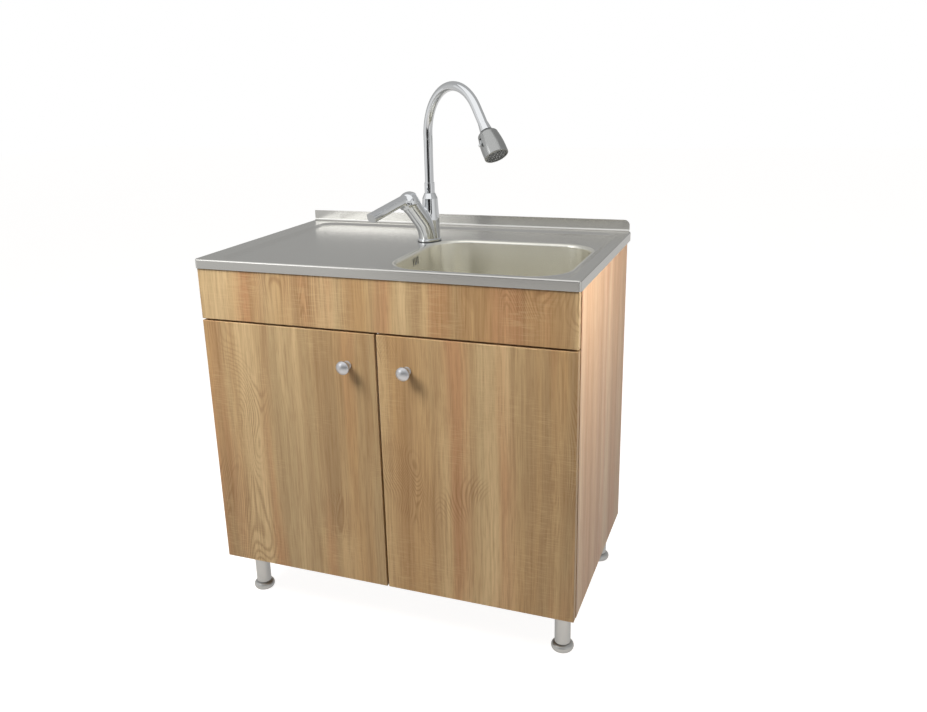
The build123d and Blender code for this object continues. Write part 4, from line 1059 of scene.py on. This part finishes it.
@dataclass
class Studio:
    """A plain pale floor, soft lights and the camera.

    Attributes:
        floor_side: The length of the floor's sides.
        azimuth: How far round the camera stands, in degrees.
        elevation: How far above the level it stands, in degrees.
        roll: How far it leans, in degrees.
        stand: Where it stands.
        lens: Its focal length in millimetres on a 36 mm sensor.
        shift: How far its picture is shifted, in picture widths.
        front_tone: The air's colour level with the floor, in front.
        back_tone: Its colour there behind the unit.
        top_tone: Its colour overhead.
        fill: How much of it lights matt surfaces from the left and from the right.
        lights: The soft lights.
        cards: The cards that the metal mirrors.
    """

    floor_side: float = 24.0
    azimuth: float = 21.716
    elevation: float = 17.034
    roll: float = -1.669
    stand: tuple[float, float, float] = (0.714523, -1.675088, 1.141062)
    lens: float = 33.775
    shift: tuple[float, float] = (0.02196, -0.01583)
    front_tone: tuple[float, ...] = (0.80, 0.80, 0.79, 1.0)
    back_tone: tuple[float, ...] = (0.40, 0.40, 0.39, 1.0)
    top_tone: tuple[float, ...] = (0.50, 0.50, 0.50, 1.0)
    fill: tuple[float, float] = (0.36, 0.09)
    lights: list[SoftLight] = field(default_factory=lambda: [
        SoftLight("key_light", (-0.95, -1.12, 2.05), (0.55, -0.2, 0.75), 0.8, 50.0, (1.0, 0.98, 0.94)),
        SoftLight("right_light", (0.84, -0.22, 1.02), (0.4, -0.06, 0.66), 0.2, 4.8, (1.0, 0.98, 0.95)),
        SoftLight("top_light", (0.15, -0.15, 2.3), (0.1, 0.0, 0.8), 1.4, 22.0),
    ])
    cards: list[Card] = field(default_factory=lambda: [
        Card("dark_card", (0.10, -1.75), 1.5, 0.47, 0.95, 0.02),
        Card("left_card", (-1.9, -0.7), 1.6, 0.0, 2.2, 0.85),
        Card("high_card", (-1.12, -1.42), 0.62, 1.0, 1.9, 2.6),
        Card("small_dark_card", (1.05, -1.25), 0.35, 0.1, 1.0, 0.05),
        Card("top_card", (-0.3, -1.7), 2.4, 1.75, 2.45, 1.15, lean=1.9),
        Card("right_card", (1.7, -1.2), 1.0, 0.0, 2.2, 0.85),
    ])

    def build(self) -> None:
        """Builds the whole studio."""
        self.lay_floor()
        self.fill_air()
        for light in self.lights:
            light.hang()
        for card in self.cards:
            card.put_up()
        self.set_camera()
        bpy.context.scene.view_settings.view_transform = "Standard"

    def lay_floor(self) -> None:
        """A plain pale floor that fades to the white of the room as the camera sees it."""
        half = self.floor_side / 2
        builder = Builder()
        builder.sheet([Vector((x * half, y * half, 0.0)) for x, y in ((-1, -1), (1, -1), (1, 1), (-1, 1))])
        builder.finish("floor", FloorPaint())

    def fill_air(self) -> None:
        """Even light from all round: white as the camera sees it, softer where the metal mirrors it."""
        world = bpy.data.worlds.new("studio")
        bpy.context.scene.world = world
        world.use_nodes = True
        world.node_tree.nodes.clear()
        graph = Graph(world.node_tree)
        way = graph.node("SeparateXYZ", {0: graph.node("TexCoord").outputs["Generated"]})
        rise = graph.span(way.outputs["Z"], 0.0, 0.75)
        back = graph.span(way.outputs["Y"], -0.3, 0.6)
        tone = graph.mix(rise, graph.mix(back, self.front_tone, self.back_tone), self.top_tone)
        path = graph.node("LightPath")
        matt = path.outputs["Is Diffuse Ray"]
        shade = graph.span(way.outputs["X"], -0.2, 0.8, *self.fill)
        strength = graph.math("ADD", graph.math("SUBTRACT", 1.0, matt), graph.math("MULTIPLY", matt, shade))
        soft = graph.node("Background", {"Color": tone, "Strength": strength})
        white = graph.node("Background", {"Color": WHITE})
        seen = path.outputs["Is Camera Ray"]
        both = graph.node("MixShader", {0: seen, 1: soft.outputs[0], 2: white.outputs[0]})
        graph.feed(graph.node("OutputWorld").inputs["Surface"], both.outputs[0])

    def set_camera(self) -> None:
        """Stands the camera where the picture was taken."""
        turn, rise, lean = (radians(angle) for angle in (self.azimuth, self.elevation, self.roll))
        back = Vector((sin(turn) * cos(rise), -cos(turn) * cos(rise), sin(rise)))
        right = UP.cross(back).normalized()
        up = back.cross(right)
        level = right * cos(lean) + up * sin(lean)
        upright = up * cos(lean) - right * sin(lean)
        data = bpy.data.cameras.new("camera")
        data.sensor_width = 36.0
        data.lens = self.lens
        data.shift_x, data.shift_y = self.shift
        camera = bpy.data.objects.new("camera", data)
        turned = Matrix((level, upright, back)).transposed().to_4x4()
        camera.matrix_world = Matrix.Translation(self.stand) @ turned
        bpy.context.scene.collection.objects.link(camera)
        bpy.context.scene.camera = camera


@dataclass(frozen=True)
class FloorPaint(Finish):
    """Pale matt floor paint, lit evenly so that only a soft shadow shows.

    Attributes:
        title: The material's name.
        glow: How bright it glows for the camera.
        mirrored: How bright the metal mirrors it.
    """

    title: str = "pale floor"
    glow: float = 0.93
    mirrored: float = 0.56

    def paint(self, graph: Graph) -> dict[str, Value]:
        """A pale base with a faint mottle, and a glow that fades the floor into the white room.

        Args:
            graph: The material's graph.

        Returns:
            What feeds each input of the surface shader.
        """
        mottle = graph.noise(graph.point(), (3.0, 3.0, 3.0), 3.0)
        tone = graph.mix(mottle, (0.33, 0.30, 0.27, 1), (0.35, 0.32, 0.29, 1))
        path = graph.node("LightPath")
        mirrored = graph.math("MULTIPLY", path.outputs["Is Glossy Ray"], self.mirrored)
        glow = graph.math("MULTIPLY_ADD", path.outputs["Is Camera Ray"], self.glow, mirrored)
        return {"Base Color": tone, "Roughness": 0.9, "Specular IOR Level": 0.1,
                "Emission Color": WHITE, "Emission Strength": glow}


@dataclass(frozen=True)
class CardPaint(Finish):
    """The even paint of a studio card.

    Attributes:
        title: The material's name.
        tone: How bright it is, where 1 is white.
    """

    title: str
    tone: float

    def paint(self, graph: Graph) -> dict[str, Value]:
        """A matt face that gives the same light all over."""
        return {"Base Color": BLACK, "Roughness": 1.0, "Specular IOR Level": 0.0,
                "Emission Color": WHITE, "Emission Strength": self.tone}


# ---- Sub-assemblies ----

class Side(Enum):
    """The side of the unit that a door or a hinge is on."""

    LEFT = "left"
    RIGHT = "right"

    def node(self, part: str) -> str:
        """The name of this side's part."""
        return f"{self.value}_{part}"

    def inward(self) -> Vector:
        """The way from this side into the cabinet."""
        return RIGHT if self is Side.LEFT else -RIGHT


@dataclass
class SinkTop:
    """The pressed steel top with its bowl.

    Attributes:
        screw_radius: The radius of the small screw between the overflow slots.
        screw_height: How far its head stands out.
    """

    screw_radius: float = 2.6 * MM
    screw_height: float = 1.0 * MM

    def build(self) -> None:
        """Dresses the top and fits the overflow screw."""
        dress(Finishes.deck, "sink_deck")
        # The bowl's steel is painted lighter than the deck's: painted light.
        dress(Finishes.bowl, "sink_bowl")
        self.fit_screw()

    def fit_screw(self) -> None:
        """The small screw between the overflow's two pairs of slots."""
        centre = middle_of("overflow_housing")
        bowl = middle_of("sink_bowl")
        wall = touch("sink_bowl", Vector((bowl.x, centre.y, centre.z)), -RIGHT)
        builder = Builder()
        Screw(self.screw_radius, self.screw_height).drive(builder, Place(wall, RIGHT))
        builder.fit("overflow_screw", Finishes.strainer)


@dataclass
class Cabinet:
    """The boards of the carcass and what holds them together.

    Attributes:
        nail_radius: The radius of a back board nail's head.
        nail_rise: How far the head stands out.
        nail_step: The distance from nail to nail.
        nail_edge: How far the nails stand from the board's edge.
        nail_outline: The head's outline, as shares of its radius and of its rise.
        nail_steps: How many steps the turn of a nail's head has.
    """

    nail_radius: float = 1.9 * MM
    nail_rise: float = 0.5 * MM
    nail_step: float = 105.0 * MM
    nail_edge: float = 4.5 * MM
    nail_outline: Outline = ((1.0, 0.0), (1.0, 0.4), (0.6, 1.0))
    nail_steps: int = 16

    def build(self) -> None:
        """Dresses the boards, brackets and cams, and nails the back board on."""
        # The side boards wear the lighter oak: painted light on the sides.
        dress(Finishes.side, "left_side_panel", "right_side_panel")
        dress(Finishes.inside, "bottom_panel", "back_rail")
        dress(Finishes.back_board, "back_panel")
        dress(Finishes.zinc, "fascia_brackets", "cam_fittings")
        self.nail_back()

    def nail_back(self) -> None:
        """Flat nail heads up both sides and along the foot of the back board."""
        low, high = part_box("back_panel")
        left, right, foot, top = (low.x + self.nail_edge, high.x - self.nail_edge, low.z + self.nail_edge,
                                  high.z - self.nail_edge)
        rises = round((top - foot) / self.nail_step)
        strides = round((right - left) / self.nail_step)
        spots = [(x, foot + (top - foot) * step / rises) for x in (left, right) for step in range(rises + 1)]
        spots += [(left + (right - left) * step / strides, foot) for step in range(1, strides)]
        builder = Builder()
        for x, z in spots:
            seat = Place(Vector((x, high.y, z)), TO_WALL).matrix()
            builder.turned(self.nail_outline, self.nail_radius, self.nail_rise, seat, self.nail_steps)
        builder.fit("back_panel_nails", Finishes.zinc)


@dataclass
class Front:
    """The fascia, the doors and their knobs."""

    def build(self) -> None:
        """Dresses the front and puts the knobs' screws in."""
        dress(Finishes.fascia, "fascia_panel")
        dress(Finishes.left_front, "left_door")
        dress(Finishes.right_front, "right_door")
        for side in Side:
            dress(Finishes.knob, side.node("knob"))
            dress(Finishes.clear, side.node("door_bumpers"))
            self.screw_knob(side)

    def screw_knob(self, side: Side) -> None:
        """The machine screw that holds a knob from inside the door.

        Args:
            side: Which door it is in.
        """
        low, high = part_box(side.node("knob_screw"))
        builder = Builder()
        Screw.fill(builder, low, high, TO_WALL, high.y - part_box(side.node("door"))[1].y)
        builder.fit(side.node("knob_bolt"), Finishes.zinc, side.node("door"),
                    side.node("knob_screw"))


@dataclass
class Hinges:
    """The concealed hinges.

    Attributes:
        wing: From a cup's middle to its screws.
        cup_screw: The screws that hold a cup in its door.
        arm_screw: The screws that set an arm.
        arm_places: Where along Y these stand, from the arm's rear end.
        plate_head: The height of the heads of the plates' screws.
    """

    wing: float = 22.5 * MM
    cup_screw: Screw = Screw(3.4 * MM, 1.3 * MM)
    arm_screw: Screw = Screw(3.0 * MM, 1.2 * MM)
    arm_places: tuple[float, ...] = (8.0 * MM, 24.0 * MM)
    plate_head: float = 1.6 * MM

    def build(self) -> None:
        """Dresses the hinges and drives their screws."""
        for side in Side:
            parts = (side.node(f"hinge_{part}") for part in ("cups", "links", "arms", "plates"))
            dress(Finishes.nickel, *parts)
            self.screw_cups(side)
            self.set_arms(side)
        self.screw_plates()

    def screw_cups(self, side: Side) -> None:
        """Two screws in the wings of each cup.

        Args:
            side: Which door it is in.
        """
        builder = Builder()
        for low, high in solids_of(side.node("hinge_cups")):
            centre = (low + high) / 2
            for step in (-self.wing, self.wing):
                spot = Vector((centre.x, high.y, centre.z + step))
                self.cup_screw.drive(builder, Place(spot, TO_WALL))
        builder.fit(side.node("hinge_cup_screws"), Finishes.nickel, side.node("door"))

    def set_arms(self, side: Side) -> None:
        """The fixing screw and the adjusting screw of each arm.

        Args:
            side: Which door it carries.
        """
        inward = side.inward()
        builder = Builder()
        for low, high in solids_of(side.node("hinge_arms")):
            face = high.x if side is Side.LEFT else low.x
            for place in self.arm_places:
                start = Vector((face, high.y - place, (low.z + high.z) / 2)) + inward * LOOK_DISTANCE
                spot = touch(side.node("hinge_arms"), start, -inward)
                if spot != start:
                    self.arm_screw.drive(builder, Place(spot, inward))
        builder.fit(side.node("hinge_arm_screws"), Finishes.nickel)

    def screw_plates(self) -> None:
        """The screws that hold the mounting plates to the sides."""
        builder = Builder()
        for low, high in solids_of("hinge_screws"):
            side = Side.RIGHT if low.x > 0 else Side.LEFT
            Screw.fill(builder, low, high, side.inward(), self.plate_head)
        builder.fit("hinge_plate_screws", Finishes.zinc, stands_for="hinge_screws")


@dataclass
class Legs:
    """The four legs with their screw feet.

    Attributes:
        screw_head: The height of the heads of the plates' screws.
    """

    screw_head: float = 1.6 * MM

    def build(self) -> None:
        """Dresses the legs and drives the screws of their plates."""
        feet = (side.node(f"{row}_foot") for side in Side for row in ("front", "rear"))
        dress(Finishes.leg, "leg_tubes", *feet)
        dress(Finishes.zinc, "leg_plates")
        builder = Builder()
        for low, high in solids_of("leg_screws"):
            Screw.fill(builder, low, high, -UP, self.screw_head)
        builder.fit("leg_plate_screws", Finishes.zinc, stands_for="leg_screws")


@dataclass
class MixerTap:
    """The tap's body, lever, spout and spray head.

    Attributes:
        nozzle_rings: The radius of each ring of nozzles and how many it has.
        nozzle: The radius of a nozzle's foot.
        nozzle_rise: How far a nozzle stands out.
        nozzle_outline: Its outline, as shares of its radius and of its rise.
        nozzle_steps: How many steps its turn has.
    """

    nozzle_rings: tuple[tuple[float, int], ...] = ((3.4 * MM, 6), (7.2 * MM, 12), (11.2 * MM, 18),
                                                   (15.0 * MM, 24))
    nozzle: float = 0.85 * MM
    nozzle_rise: float = 0.9 * MM
    nozzle_outline: Outline = ((1.0, 0.0), (0.72, 1.0), (0.36, 1.0), (0.30, 0.3))
    nozzle_steps: int = 12

    def build(self) -> None:
        """Dresses the tap and sets the nozzles in the spray head's face."""
        dress(Finishes.chrome, "tap_body", "cartridge_nut", "lever", "spout_collar", "spout_tube",
              "spray_switch", "spray_ball")
        dress(Finishes.brass, "tap_shank", "tap_nut", "lever_stem")
        dress(Finishes.zinc, "tap_washer")
        dress(Finishes.black, "tap_seal")
        dress(Finishes.white, "cartridge", "cartridge_carrier")
        dress(Finishes.plated, "spray_head")
        dress(Finishes.grey, "spray_face")
        self.set_nozzles()

    def set_nozzles(self) -> None:
        """Rings of soft nozzles on the spray head's face."""
        way = self.head_way()
        middle = middle_of("spray_face")
        face = touch("spray_face", middle + way * LOOK_DISTANCE, -way)
        seat = Place(face, way).matrix()
        builder = Builder()
        for radius, count in self.nozzle_rings:
            for step in range(count):
                turn = 2 * pi * step / count
                spot = Matrix.Translation((radius * cos(turn), radius * sin(turn), 0.0))
                builder.turned(self.nozzle_outline, self.nozzle, self.nozzle_rise, seat @ spot,
                               self.nozzle_steps)
        builder.fit("spray_nozzles", Finishes.nozzle, "spray_head")

    def head_way(self) -> Vector:
        """The way that the spray head looks: from its ball to the middle of its face."""
        ball = middle_of("spray_ball")
        return (middle_of("spray_face") - ball).normalized()


@dataclass
class Waste:
    """The strainer, the overflow and the trap.

    Attributes:
        rib_count: How many ribs a nut or the cup has to grip.
        rib_proud: How far they stand out.
        rib_height: The height of the tallest band of ribs.
        rib_reach: How far they go each way, as a share of the band.
        round_gap: How much the two sides of an upright piece may differ.
    """

    rib_count: int = 28
    rib_proud: float = 0.7 * MM
    rib_height: float = 22.0 * MM
    rib_reach: float = 0.42
    round_gap: float = 1.0 * MM

    def build(self) -> None:
        """Dresses the waste and ribs what is turned by hand."""
        dress(Finishes.strainer, "strainer_flange", "strainer_plug")
        dress(Finishes.black, "strainer_seal")
        dress(Finishes.white, "strainer_body", "overflow_pipe", "trap_body", "trap_cup", "trap_nuts",
              "trap_outlet")
        # The housing is painted dark: painted shade for the hollow seen through the overflow slots.
        dress(Finishes.dark, "overflow_housing")
        builder = Builder()
        for low, high in (*solids_of("trap_nuts"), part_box("trap_cup")):
            self.rib(builder, low, high)
        builder.fit("trap_ribs", Finishes.white)

    def rib(self, builder: Builder, low: Vector, high: Vector) -> None:
        """Ribs a nut or the cup, which stands upright or lies along Y.

        Args:
            builder: The ribs' mesh.
            low: The lowest corner of its box.
            high: The highest corner.
        """
        size = high - low
        upright = size.z < size.y or size.x - size.y < self.round_gap
        radius, height = (size.x / 2, size.z) if upright else (size.z / 2, size.y)
        seat = Place((low + high) / 2, UP if upright else TO_WALL).matrix()
        reach = self.rib_reach * min(height, self.rib_height)
        builder.ribs(seat, radius, reach, self.rib_count, self.rib_proud)


def main() -> None:
    """Builds the studio and the unit's looks in order."""
    logging.basicConfig(level=logging.INFO, format="%(message)s")
    Studio().build()
    for assembly in (SinkTop(), Cabinet(), Front(), Hinges(), Legs(), MixerTap(), Waste()):
        assembly.build()


if __name__ == "__main__":
    main()
